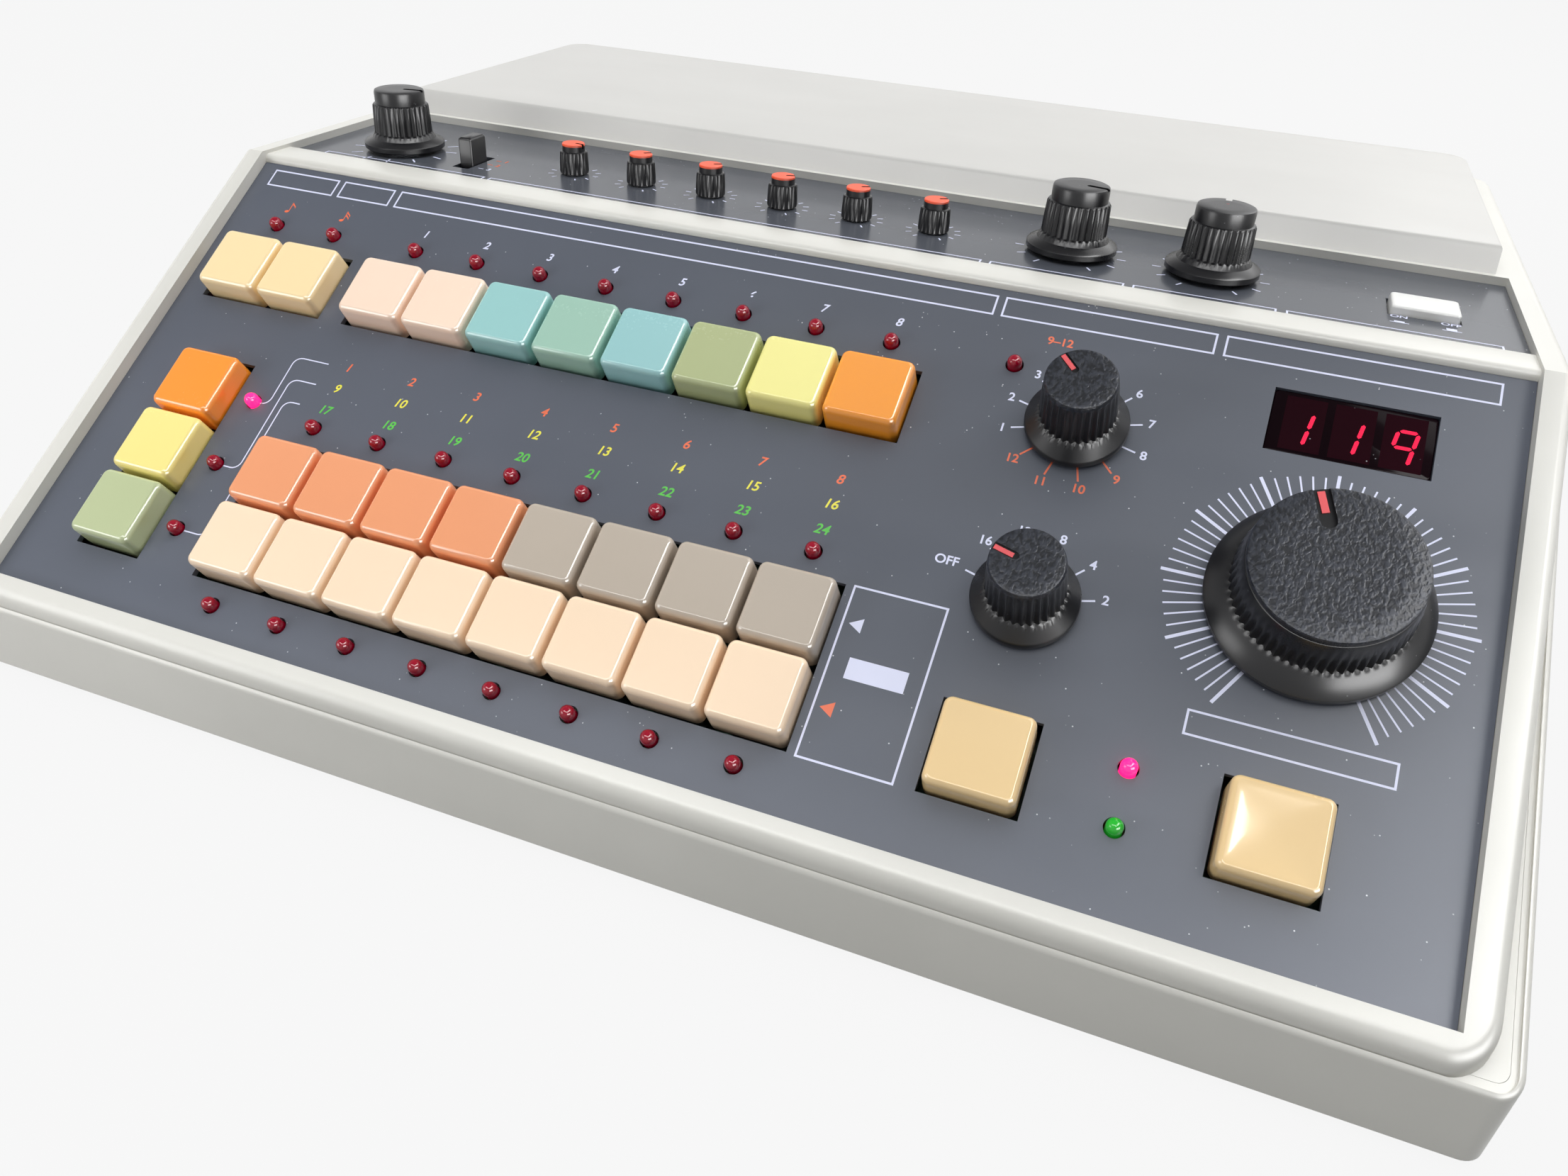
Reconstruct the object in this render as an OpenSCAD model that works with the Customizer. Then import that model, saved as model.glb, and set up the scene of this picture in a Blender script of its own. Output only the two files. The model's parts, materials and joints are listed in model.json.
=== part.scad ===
// Desktop drum machine: a wedge-shaped case in two shells, a sloping key panel, a level
// knob panel behind it and a raised lid plate. All lengths are millimetres.
// Row frame: X to the right, Y to the back, Z up, origin under the middle of the case.

/* [Case] */
// Width over the lower shell
case_w = 372.8; // [368:0.2:402]
// Depth over the lower shell
case_d = 318; // [300:1:340]
// Height of the rubber feet
foot_h = 2.2; // [2:0.1:8]
// Radius of the rubber feet
foot_r = 8; // [6:0.5:12]
// Distance from the case's edges to the middle of a foot
foot_inset = 34; // [26:1:60]
// Wall thickness of both shells
wall = 2.6; // [2:0.1:3]
// Clearance between the two shells
shell_gap = 0.2; // [0.1:0.05:0.4]
// Height of the lower shell's front wall
front_h = 19.1; // [16:0.1:22]
// Slope of the seam between the shells in degrees
seam_slope = 26.4; // [24:0.2:28]
// Height of the seam behind its slope
seam_h = 84.2; // [76:0.2:88]
// Depth that the upper shell tucks down inside the lower one
tuck = 8; // [3:0.5:10]
// Radius of the lower shell's upright corners
corner_r = 5; // [4.6:0.2:10]
// Radius of the lower shell's lip
lip_r = 0.8; // [0.6:0.1:1.8]
// Distance from the case's front to the upper shell's front face
bezel_inset = 1.6; // [1.2:0.1:2.6]
// Radius of the upper shell's upright corners
top_corner_r = 6; // [4:0.5:9]
// Radius of the bezel's front edge
bezel_r = 1; // [0.6:0.1:2]
// Radius of the rails' outer edges
edge_r = 2.6; // [1:0.1:3]
// Height of the rails beside the knob panel
rail_h = 104.4; // [102:0.2:112]

/* [Key panel] */
// Slope of the key panel in degrees
slope = 32.6; // [31.6:0.2:33.2]
// Width of the rails beside both panels, from the lower shell's side
rail_w = 12; // [11:0.1:13]
// Length of the key panel up its slope
low_len = 144.2; // [142:0.2:146]
// Distance from the case's front to the key panel's front edge
low_front = 7.1; // [6.5:0.1:9]
// Height of the key panel's front edge
low_z = 23.45; // [22:0.05:25]
// Length from the panel's front edge to the middle row of lamps
lamps_up = 61.8; // [60:0.2:63]
// Thickness of the panel plates
panel_t = 1.5; // [1:0.1:2]
// Clearance round each panel plate
fit_gap = 0.1; // [0.05:0.05:0.2]
// Width of the ledge under a panel's edge
ledge_w = 3; // [2:0.2:4]
// Thickness of that ledge
ledge_t = 2; // [1.5:0.1:2.6]
// Height of the rails above the key panel
rail_rise = 3.2; // [2.4:0.1:3.6]

/* [Knob panel] */
// Depth of the knob panel
up_len = 55.2; // [50:0.2:58]
// Width of the ridge between the panels
ridge_w = 11.5; // [9:0.5:14]
// Height of the ridge above the knob panel
ridge_rise = 1.2; // [0.4:0.1:2]
// Depth of the knob panel below the rails
up_drop = 2.2; // [1.6:0.1:3]

/* [Lid plate] */
// Distance from the upper shell's sides to the lid plate
lid_side = 12.2; // [9:0.1:20]
// Thickness of the lid plate
lid_t = 6.8; // [4:0.2:10]
// Lean of its front face, along Y
lid_lean = 3.5; // [1:0.5:6]
// Distance from the knob panel to the lid plate
lid_gap = 2; // [1:0.2:4]
// Distance from the lid plate to the upper shell's back
lid_back = 2.9; // [2.6:0.1:6]
// Radius of the lid plate's rear corners
lid_corner_r = 8; // [4:0.5:12]

/* [Buttons] */
// Spacing of the rows of buttons and lamps up the slope
pitch = 20; // [19.6:0.1:20.2]
// Clearance between two caps
cap_gap = 1.1; // [1:0.1:2.5]
// Width of the two single caps
single_w = 20; // [19:0.1:20.5]
// Clearance beside a row of caps
side_gap = 0.55; // [0.4:0.05:0.8]
// Clearance before and behind a row of caps
end_gap = 1.15; // [0.5:0.05:1.3]
// Clearance round the two single caps
single_gap = 0.8; // [0.5:0.05:1]
// Height of a cap above the panel
cap_rise = 6; // [4.5:0.2:8]
// Depth of a cap below the panel
cap_skirt = 3; // [2.4:0.2:4]
// Radius of a cap's upright corners
cap_corner_r = 2.2; // [1.6:0.1:3]
// Radius of a cap's upper edges
cap_edge_r = 1.8; // [1:0.1:2.2]
// Travel of a button
travel = 3; // [2:0.1:3.2]
// Radius of a button's stem
stem_r = 2.5; // [2:0.1:3]
// Clearance round a stem
stem_gap = 0.3; // [0.25:0.05:0.4]
// Height of a key switch
switch_h = 10; // [8.5:0.2:10.5]
// Width of a key switch
switch_w = 13.6; // [12:0.2:15]

/* [Lamps and display] */
// Radius of a lamp
lamp_r = 1.8; // [1.4:0.1:2]
// Radius of a lamp's hole
lamp_hole_r = 2.2; // [2.1:0.1:2.6]
// Height of a lamp's crown above the panel
lamp_rise = 3; // [1:0.1:3.6]
// Width of the display window
window_w = 35; // [32:0.2:36]
// Length of the display window
window_l = 16.8; // [15:0.2:18]
// Thickness of the display window
window_t = 2.5; // [2:0.1:4]
// Depth of the display window below the panel
window_drop = 0.5; // [0.2:0.1:1]

/* [Knobs] */
// Height of the knobs on the key panel
knob_h = 19; // [16:0.5:22]
// Height of the skirted knobs on the knob panel
rear_knob_h = 18; // [16:0.5:22]
// Skirt radius of the selector knobs
skirt_r = 12; // [11:0.2:13]
// Body radius of the selector knobs
body_r = 8.7; // [8.3:0.1:9.5]
// Skirt radius of the large dial
dial_skirt_r = 23; // [21:0.5:23.5]
// Body radius of the large dial
dial_r = 18.2; // [17:0.2:19]
// Height of a skirt's rim above the panel
rim_h = 3; // [2.4:0.1:3.6]
// Clearance between a knob and the panel
knob_lift = 1; // [0.5:0.1:1.4]
// Shaft radius of the skirted knobs
shaft_r = 3; // [2.6:0.1:3.2]
// Body radius of the small knobs
small_r = 4.3; // [3.9:0.1:4.6]
// Height of the small knobs
small_h = 9; // [8:0.2:11]
// Shaft radius of the small knobs
small_shaft_r = 1.5; // [1.2:0.1:1.8]
// Running clearance of the shafts
run_gap = 0.05; // [0.02:0.01:0.08]
// Length of the shafts below the panel
shaft_l = 12; // [10:0.2:12.2]
// Spacing of the small knobs
small_pitch = 22.66; // [20:0.02:23]

/* [Slide and power] */
// Width of the slide lever
lever_w = 4.6; // [4:0.2:6]
// Length of the slide lever along its slot
lever_l = 8; // [6:0.2:9]
// Height of the slide lever above the panel
lever_h = 8; // [6:0.2:9]
// Travel of the slide lever
lever_travel = 6; // [4:0.2:7]
// Clearance round the slide lever
lever_gap = 0.5; // [0.3:0.05:0.7]
// Width of the power button
power_w = 16; // [14:0.2:18]
// Length of the power button
power_l = 11.5; // [9:0.2:13]
// Height of the power button above the panel
power_rise = 2.2; // [2:0.1:4]
// Travel of the power button
power_travel = 2; // [1:0.1:2.6]

/* [Sockets] */
// Bore radius of a jack socket
jack_r = 3.2; // [3:0.05:3.4]
// Number of jack sockets
jack_n = 5; // [3:1:6]
// Spacing of the sockets
jack_pitch = 24; // [22:0.5:28]
// Height of the sockets above the case's floor
jack_z = 34; // [26:0.5:44]
// Depth of the recess round the sockets
bay_depth = 3; // [2.6:0.1:5]
// Height of the recess round the sockets
bay_h = 22; // [20:0.5:28]
// Bore radius of the cord gland
gland_r = 3; // [2.5:0.1:3.5]

/* [Hidden] */

round_n = 48;        // smoothness of round shapes
arc_n = 3;           // flats on a rounded edge
far = 420;           // longer than the case
cut = 0.5;           // how far a cutting shape passes an outer face
clear = 0.3;         // gap between parts that pass each other

// Heights, with the feet
seam_z = foot_h + seam_h;
rail_z = foot_h + rail_h;
up_z = rail_z - up_drop;
floor_z = foot_h + wall;
top_inset = wall + shell_gap;
top_w = case_w - 2 * top_inset;
panel_w = case_w - 2 * rail_w;
lid_w = top_w - 2 * lid_side;

// The key panel: a length u up the slope and a height h off it, as [Y, Z]
function on_slope(u, h = 0) = [low_front, foot_h + low_z]
    + u * [cos(slope), sin(slope)] + h * [-sin(slope), cos(slope)];
lamps_at = on_slope(lamps_up);
key_back = on_slope(low_len);
up_front = key_back[0] + ridge_w;
up_back = up_front + up_len;
ridge_z = up_z + ridge_rise;
lid_front = up_back + lid_gap;
lid_end = case_d - top_inset - lid_back;

function bezel_z(y) =
    foot_h + low_z + rail_rise / cos(slope) + (y - low_front) * tan(slope);
bezel_knee = low_front + (rail_z - bezel_z(low_front)) / tan(slope);
seam_front_z = foot_h + front_h;
function seam_line(y) = min(seam_z, seam_front_z + y * tan(seam_slope));
seam_knee = (seam_z - seam_front_z) / tan(seam_slope);

// Rows and columns of the key panel, in button spacings from the middle row of lamps
panel_cols = 17.44;
centre_col = 5.46;
col_pitch = panel_w / panel_cols;
cap_size = [col_pitch - cap_gap, pitch - cap_gap];
single_size = [single_w, single_w];
function col(i) = (i - centre_col) * col_pitch;
function row(i) = i * pitch;
arranger_row = 2.16;
rhythm_rows = [-0.83, -1.83];
bank_rows = [0.17, -0.83, -1.83];
register_cols = [-2.38, -1.38];
bank_col = -1.88;
manual_col = 9.47;
start_col = 12.37;
dial_cell = [12.36, 0.8];
intro_cell = [9.46, 2.36];
measures_cell = [9.46, 0.03];
window_cell = [12.39, 2.99];
lamp_cells = concat([for (i = [0:7]) each [[i, 3.02], [i, 0], [i, -2.66]]],
    [[-2.39, 3.02], [-1.39, 3.02], [8.55, 3.04], [-1.08, -0.83], [-1.08, -1.83]]);
lit_cells = [[-1.08, 0.17], [10.93, -1.51], [10.93, -2.15]];

// Places on the knob panel, from its front edge and from its centre line or its nearer side
voice_y = 22.8;
voice_x = -87.8;
skirted_y = 24.1;
accent_x = panel_w / 2 - 110.8;
volume_x = panel_w / 2 - 73.9;
mode_at = [27.8 - panel_w / 2, 19.6];
lever_at = [54.2 - panel_w / 2, 17.6];
power_at = [panel_w / 2 - 22.2, 22];

// Switches, pots and boards below the panels
board_z = 20;        // depth of the key board below the key panel
up_board_z = 14;     // depth of the upper board below the knob panel
board_t = 1.6;
board_half = panel_w / 2 - 6.2;
board_y = [-57, 70];
up_board_half = panel_w / 2 - 12.2;
up_board_y = [7, 48];
stud_r = 3;
stud_x = board_half - 4;
stud_y = [-52, 12, 66];
spacer_r = 2.5;
bush_wall = 1.5;
bush_h = 2.4;
nut_r = 6;
nut_h = 1.8;
pot_r = 8;
dial_pot_r = 12;
small_pot_r = 5;
pot_leg_r = 5;

// Fastening of the two shells: [X, Y] of each pair of posts
post_r = 5;
post_inset = 8;      // from the upper shell's outer side to a post's axis
post_x = top_w / 2 - post_inset;
post_ys = [25, 150, case_d - 27];
boss_l = 14;         // from the rail's top to where the posts meet
head_r = 3;
head_h = 2.4;
screw_r = 1.5;
screw_in = 8;
screw_out = 10;
screw_gap = 0.05;
function post_top(y) = min(rail_z, bezel_z(y)) - boss_l;

// Rear sockets
jack_wall = 1.3;
jack_len = 22;
jack_box = 13;
jack_nut_r = 6.6;
jack_nut_h = 2;
bay_w = (jack_n + 2) * jack_pitch;
bay_face = case_d - bay_depth;
gland_wall = 2.5;
gland_in = 8;        // how far the gland goes in behind the wall
gland_lip = 1.5;
gland_plate = 2;
function socket_x(i) = (i - (jack_n + 1) / 2) * jack_pitch;

// Main board and power supply on the floor, from the case's sides
floor_y = 215;
stand_h = 6;
psu_size = [62, 54, 44];
psu_flange = 10;
psu_side = 67.5;     // from the case's side to the supply's middle
psu_at = [case_w / 2 - psu_side, floor_y];
main_gap = 12;       // from the supply's flange to the main board
main_side = 30.5;    // from the case's other side to the main board
main_end = psu_at[0] - psu_size[0] / 2 - psu_flange - main_gap;
main_board = [main_end + case_w / 2 - main_side, 120];
main_at = [main_end - main_board[0] / 2, floor_y];

// ---- plain shapes ----

module rounded_square(w, l, r) {
    square([w - 2 * r, l], center = true);
    square([w, l - 2 * r], center = true);
    for (x = [-1, 1], y = [-1, 1])
        translate([x * (w / 2 - r), y * (l / 2 - r)]) circle(r, $fn = round_n);
}

// An outline in Y and Z, drawn out along X
module side_prism(points, w) {
    rotate([90, 0, 90]) linear_extrude(w, center = true) polygon(points);
}

// The case's plan, inset all round, from z0 upwards
module plan_prism(inset, r, z0 = 0) {
    translate([0, case_d / 2, z0])
        linear_extrude(far) rounded_square(case_w - 2 * inset, case_d - 2 * inset, r);
}

// The upper shell's plan: its front stands further forward than the skirt below it
module top_plan() {
    translate([0, (case_d + bezel_inset - top_inset) / 2, 0]) linear_extrude(far)
        rounded_square(top_w, case_d - bezel_inset - top_inset, top_corner_r);
}

// Flats that stand for a rounded corner
function arc(c, r, a0, a1) =
    [for (i = [0:arc_n]) let (a = a0 + (a1 - a0) * i / arc_n) c + r * [cos(a), sin(a)]];

// A line of points whose last flat runs on past its end
function run_on(points) = let (n = len(points))
    concat(points, [3 * points[n - 1] - 2 * points[n - 2]]);

// A long bar that rounds both edges of a top face through [y, z], and stands above that face
module edge_prism(y, z, tilt, w, r) {
    left = run_on(arc([r - w / 2, -r], r, 180, 90));
    right = [for (i = [len(left) - 1:-1:0]) [-left[i][0], left[i][1]]];
    translate([0, y, z]) rotate([90 + tilt, 0, 0]) linear_extrude(2 * far, center = true)
        polygon(concat([[-w / 2, -far]], left, right, [[w / 2, -far]]));
}

module tube(r_out, r_in, h) {
    difference() {
        cylinder(r = r_out, h = h, $fn = round_n);
        translate([0, 0, -cut]) cylinder(r = r_in, h = h + 2 * cut, $fn = round_n);
    }
}

module on_keys(x = 0, y = 0) {
    translate([0, lamps_at[0], lamps_at[1]]) rotate([slope, 0, 0])
        translate([x, y, 0]) children();
}

module at_cell(c) {
    on_keys(col(c[0]), row(c[1])) children();
}

module on_top(x = 0, y = 0) {
    translate([x, up_front + y, up_z]) children();
}

// ---- case ----

module case_base() {
    outline = concat([[0, foot_h]],
        arc([lip_r, seam_line(lip_r) - lip_r / cos(seam_slope)], lip_r, 180, 90 + seam_slope),
        [[seam_knee, seam_z], [case_d, seam_z], [case_d, foot_h]]);
    color("#dedcd5") difference() {
        union() {
            difference() {
                intersection() {
                    side_prism(outline, case_w);
                    plan_prism(0, corner_r);
                    edge_prism(seam_knee, seam_z, seam_slope, case_w, lip_r);
                    edge_prism(case_d, seam_z, 0, case_w, lip_r);
                }
                difference() {
                    plan_prism(wall, corner_r - wall, floor_z);
                    translate([-bay_w / 2 - wall, bay_face - wall, floor_z - cut])
                        cube([bay_w + 2 * wall, far, jack_z + bay_h / 2 + wall + cut]);
                }
                translate([-bay_w / 2, bay_face, floor_z + jack_z - bay_h / 2])
                    cube([bay_w, far, bay_h]);
            }
            for (x = [-1, 1], y = post_ys) translate([x * post_x, y, floor_z - cut])
                cylinder(r = post_r, h = post_top(y) - floor_z + cut, $fn = round_n);
            translate([main_at[0], main_at[1], 0]) main_stands();
        }
        for (x = [-1, 1], y = post_ys) translate([x * post_x, y, 0]) {
            cylinder(r = head_r + clear, h = post_top(y) - screw_out, $fn = round_n);
            cylinder(r = screw_r + screw_gap, h = far, $fn = round_n);
        }
        for (i = [0:jack_n - 1]) at_socket(i)
            translate([0, 0, -far / 2]) cylinder(r = jack_bush_r() + fit_gap, h = far, $fn = round_n);
        at_socket(jack_n + 1)
            translate([0, 0, -far / 2]) cylinder(r = gland_out_r() + fit_gap, h = far, $fn = round_n);
    }
}

module main_stands() {
    for (x = [-1, 1], y = [-1, 1])
        translate([x * (main_board[0] / 2 - stud_r), y * (main_board[1] / 2 - stud_r), floor_z - cut])
            cylinder(r = stud_r, h = stand_h + cut, $fn = round_n);
}

module case_top() {
    back = case_d - top_inset;
    bezel_start = bezel_inset + bezel_r;
    outline = concat(
        [[top_inset, seam_line(top_inset) - tuck], [top_inset, seam_line(top_inset) + shell_gap],
         [bezel_inset, seam_line(bezel_inset) + shell_gap]],
        arc([bezel_start, bezel_z(bezel_start) - bezel_r / cos(slope)], bezel_r, 180, 90 + slope),
        [[bezel_knee, rail_z]], arc([back - edge_r, rail_z - edge_r], edge_r, 90, 0),
        [[back, seam_z - tuck], [seam_knee, seam_z - tuck]]);
    under = panel_t + ledge_t;
    hollow_z = up_z - under;
    slope_in = on_slope(0, -under);
    function under_slope(y) = slope_in[1] + (y - slope_in[0]) * tan(slope);
    inner_front = top_inset + wall;
    hollow_knee = slope_in[0] + (hollow_z - slope_in[1]) / tan(slope);
    hollow = [[inner_front, -far], [inner_front, under_slope(inner_front)],
        [hollow_knee, hollow_z], [up_back + ledge_w, hollow_z],
        [up_back + ledge_w, rail_z - wall], [back - wall, rail_z - wall], [back - wall, -far]];
    open_low = [on_slope(0, -panel_t), on_slope(low_len, -panel_t), key_back];
    recess = concat(open_low, arc([key_back[0] + edge_r / 2, ridge_z - edge_r / 2], edge_r / 2, 180, 90),
        [[up_front, ridge_z], [up_front, up_z - panel_t], [up_back, up_z - panel_t],
         [up_back, far], on_slope(0, far), on_slope(0)]);
    color("#e4e2da") difference() {
        union() {
            difference() {
                intersection() {
                    side_prism(outline, case_w);
                    top_plan();
                    edge_prism(bezel_knee, rail_z, slope, top_w, edge_r);
                    edge_prism(case_d, rail_z, 0, top_w, edge_r);
                }
                side_prism(hollow, top_w - 2 * wall);
            }
            for (x = [-1, 1], y = post_ys) translate([x * post_x, y, post_top(y)])
                cylinder(r = post_r, h = min(rail_z, bezel_z(y - post_r)) - 1 - post_top(y), $fn = round_n);
        }
        side_prism(recess, panel_w);
        on_keys(0, ledge_w - lamps_up) translate([ledge_w - panel_w / 2, 0, -under - cut])
            cube([panel_w - 2 * ledge_w, low_len - 2 * ledge_w, under + cut]);
        on_top(ledge_w - panel_w / 2, ledge_w) translate([0, 0, -under - cut])
            cube([panel_w - 2 * ledge_w, up_len - 2 * ledge_w, under + cut]);
        for (x = [-1, 1], y = post_ys) translate([x * post_x, y, post_top(y) - cut])
            cylinder(r = screw_r + screw_gap, h = screw_in + cut + clear, $fn = round_n);
    }
}

module lid_plate() {
    len = lid_end - lid_front;
    color("#c9c7c4") intersection() {
        side_prism([[lid_front, rail_z], [lid_front + lid_lean, rail_z + lid_t],
            [lid_end, rail_z + lid_t], [lid_end, rail_z]], lid_w);
        // the front corners stay square, so the plan runs past them
        translate([0, lid_end - len, rail_z - cut]) linear_extrude(far)
            rounded_square(lid_w, 2 * len, lid_corner_r);
        edge_prism(lid_end, rail_z + lid_t, 0, lid_w, lid_lean / 4);
    }
}

module feet() {
    for (x = [-1, 1], y = [foot_inset, case_d - foot_inset])
        color("#26262a") translate([x * (case_w / 2 - foot_inset), y, 0]) {
            cylinder(r1 = foot_r - 1, r2 = foot_r, h = 1, $fn = round_n);
            translate([0, 0, 1]) cylinder(r = foot_r, h = foot_h - 1, $fn = round_n);
        }
}

module screws() {
    for (x = [-1, 1], y = post_ys)
        color("#a8aab0") translate([x * post_x, y, post_top(y) - screw_out]) {
            translate([0, 0, -head_h]) difference() {
                cylinder(r = head_r, h = head_h, $fn = round_n);
                translate([0, 0, -cut]) cylinder(r = head_r / 3, h = 1 + cut, $fn = 4);
            }
            cylinder(r = screw_r, h = screw_out + screw_in, $fn = round_n);
        }
}

// ---- panels ----

module block_cut(c0, c1, r0, r1) {
    w = abs(col(c1) - col(c0)) + cap_size[0] + 2 * side_gap;
    l = abs(row(r1) - row(r0)) + cap_size[1] + 2 * end_gap;
    translate([(col(c0) + col(c1)) / 2, (row(r0) + row(r1)) / 2]) square([w, l], center = true);
}

module single_cut(c) {
    translate([col(c), row(rhythm_rows[1])]) square(single_w + 2 * single_gap, center = true);
}

module key_panel() {
    color("#6b6d74") on_keys() {
        translate([0, 0, -panel_t]) linear_extrude(panel_t) difference() {
            translate([0, low_len / 2 - lamps_up])
                square([panel_w - 2 * fit_gap, low_len - 2 * fit_gap], center = true);
            block_cut(register_cols[0], register_cols[1], arranger_row, arranger_row);
            block_cut(0, 7, arranger_row, arranger_row);
            block_cut(bank_col, bank_col, bank_rows[2], bank_rows[0]);
            block_cut(0, 7, rhythm_rows[1], rhythm_rows[0]);
            for (c = [manual_col, start_col]) single_cut(c);
            for (c = concat(lamp_cells, lit_cells))
                translate([col(c[0]), row(c[1])]) circle(lamp_hole_r, $fn = round_n);
            for (c = [dial_cell, intro_cell, measures_cell]) translate([col(c[0]), row(c[1])])
                circle(shaft_r + bush_wall + fit_gap, $fn = round_n);
            translate([col(window_cell[0]), row(window_cell[1])])
                square([window_w + 2 * fit_gap, window_l + 2 * fit_gap], center = true);
        }
        for (x = [-stud_x, 0, stud_x], y = stud_y) translate([x, y, -board_z])
            cylinder(r = stud_r, h = board_z - panel_t + cut, $fn = round_n);
    }
}

module knob_panel() {
    color("#6d6f76") on_top() translate([0, 0, -panel_t]) linear_extrude(panel_t) difference() {
        translate([0, up_len / 2])
            square([panel_w - 2 * fit_gap, up_len - 2 * fit_gap], center = true);
        for (i = [0:5]) translate([voice_x + i * small_pitch, voice_y])
            circle(small_shaft_r + bush_wall + fit_gap, $fn = round_n);
        for (p = skirted_places) translate(p)
            circle(shaft_r + bush_wall + fit_gap, $fn = round_n);
        translate(lever_at)
            square([lever_w + 2 * lever_gap, lever_l + lever_travel + 2 * lever_gap], center = true);
        translate(power_at)
            square([power_w + 2 * lever_gap, power_l + 2 * lever_gap], center = true);
    }
}
skirted_places = [mode_at, [accent_x, skirted_y], [volume_x, skirted_y]];

// ---- lamps and display ----

module lamp() {
    translate([0, 0, -board_z]) rotate_extrude($fn = round_n) {
        square([spacer_r, board_z - panel_t - 1]);
        square([lamp_r, board_z + lamp_rise - lamp_r]);
        translate([0, board_z + lamp_rise - lamp_r]) intersection() {
            circle(lamp_r, $fn = round_n);
            translate([0, -lamp_r / 2]) square(2 * lamp_r);
        }
    }
}

module lamps() {
    color("#7a0518") for (c = lamp_cells) at_cell(c) lamp();
}

module lamps_lit() {
    color("#ff0a60") for (c = lit_cells) at_cell(c) lamp();
}

module display_window() {
    color("#1a0a12") at_cell(window_cell) translate([0, 0, -window_drop - window_t / 2])
        cube([window_w, window_l, window_t], center = true);
}

// ---- boards and switches ----

module circuit_boards() {
    color("#2f5b45") {
        on_keys() translate([-board_half, board_y[0], -board_z - board_t])
            cube([2 * board_half, board_y[1] - board_y[0], board_t]);
        on_top() translate([-up_board_half, up_board_y[0], -up_board_z - board_t])
            cube([2 * up_board_half, up_board_y[1] - up_board_y[0], board_t]);
        translate([main_at[0] - main_board[0] / 2, main_at[1] - main_board[1] / 2, floor_z + stand_h])
            cube([main_board[0], main_board[1], board_t]);
    }
    // the display module under its window
    module_h = board_z - window_drop - window_t;
    color("#303236") at_cell(window_cell) translate([0, 0, module_h / 2 - board_z])
        cube([window_w - 2, window_l - 1, module_h], center = true);
}

module key_switch() {
    translate([0, 0, -board_z]) difference() {
        translate([0, 0, switch_h / 2]) cube([switch_w, switch_w, switch_h], center = true);
        translate([0, 0, -cut]) cylinder(r = stem_r + stem_gap, h = far, $fn = round_n);
    }
}

module key_switches() {
    color("#2a2a2e") {
        for (c = register_cols) at_cell([c, arranger_row]) key_switch();
        for (i = [0:7]) {
            at_cell([i, arranger_row]) key_switch();
            for (r = rhythm_rows) at_cell([i, r]) key_switch();
        }
        for (r = bank_rows) at_cell([bank_col, r]) key_switch();
        for (c = [manual_col, start_col]) at_cell([c, rhythm_rows[1]]) key_switch();
    }
}

// A pot or rotary switch under a panel, with a bushing that runs up through it
module pot(r, shaft, depth, up, nut) {
    bush = shaft + bush_wall;
    difference() {
        union() {
            translate([0, 0, -panel_t - shaft_l]) cylinder(r = r, h = shaft_l, $fn = round_n);
            translate([0, 0, -depth]) cylinder(r = min(r, pot_leg_r), h = depth - panel_t, $fn = round_n);
            translate([0, 0, -panel_t - cut]) cylinder(r = bush, h = up + panel_t + cut, $fn = round_n);
            if (nut > 0) cylinder(r = nut, h = nut_h, $fn = 6);
        }
        translate([0, 0, -shaft_l - clear])
            cylinder(r = shaft + run_gap, h = shaft_l + clear + up + cut, $fn = round_n);
    }
}

module controls() {
    color("#8d9096") {
        at_cell(dial_cell) pot(dial_pot_r, shaft_r, board_z, bush_h, nut_r);
        at_cell(intro_cell) pot(pot_r, shaft_r, board_z, bush_h, nut_r);
        at_cell(measures_cell) pot(pot_r, shaft_r, board_z, bush_h, nut_r);
        for (p = skirted_places) on_top(p[0], p[1]) pot(pot_r, shaft_r, up_board_z, bush_h, nut_r);
        for (i = [0:5]) on_top(voice_x + i * small_pitch, voice_y)
            pot(small_pot_r, small_shaft_r, up_board_z, 0, 0);
        on_top(lever_at[0], lever_at[1]) slide_switch();
        on_top(power_at[0], power_at[1]) power_switch();
    }
}

tang = [2.4, 4];
tang_h = 5;
lever_below = 3;

module slide_switch() {
    run = lever_travel + 2 * lever_gap;
    h = up_board_z - panel_t;
    difference() {
        translate([0, 0, -panel_t - h / 2])
            cube([lever_w + 2 * lever_gap + 6, lever_l + run + 8, h], center = true);
        translate([0, 0, -lever_below - clear]) linear_extrude(far)
            square([lever_w + 2 * lever_gap, lever_l + run], center = true);
        translate([0, 0, -lever_below - tang_h - clear]) linear_extrude(far)
            square([tang[0] + 2 * clear, tang[1] + run], center = true);
    }
}

power_below = 4;
power_switch_h = up_board_z - power_below - power_travel - 1.5;
power_stem = up_board_z - power_below - power_travel - 1;

module power_switch() {
    translate([0, 0, -up_board_z]) difference() {
        translate([0, 0, power_switch_h / 2]) cube([power_w, power_l, power_switch_h], center = true);
        translate([0, 0, -cut]) cylinder(r = stem_r + stem_gap, h = far, $fn = round_n);
    }
}

// ---- rear sockets and power supply ----

function jack_bush_r() = jack_r + jack_wall;
function gland_out_r() = gland_r + gland_wall;

// Places a socket on the recess's face, its axis to the back
module at_socket(i) {
    translate([socket_x(i), bay_face, floor_z + jack_z]) rotate([-90, 0, 0]) children();
}

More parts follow.
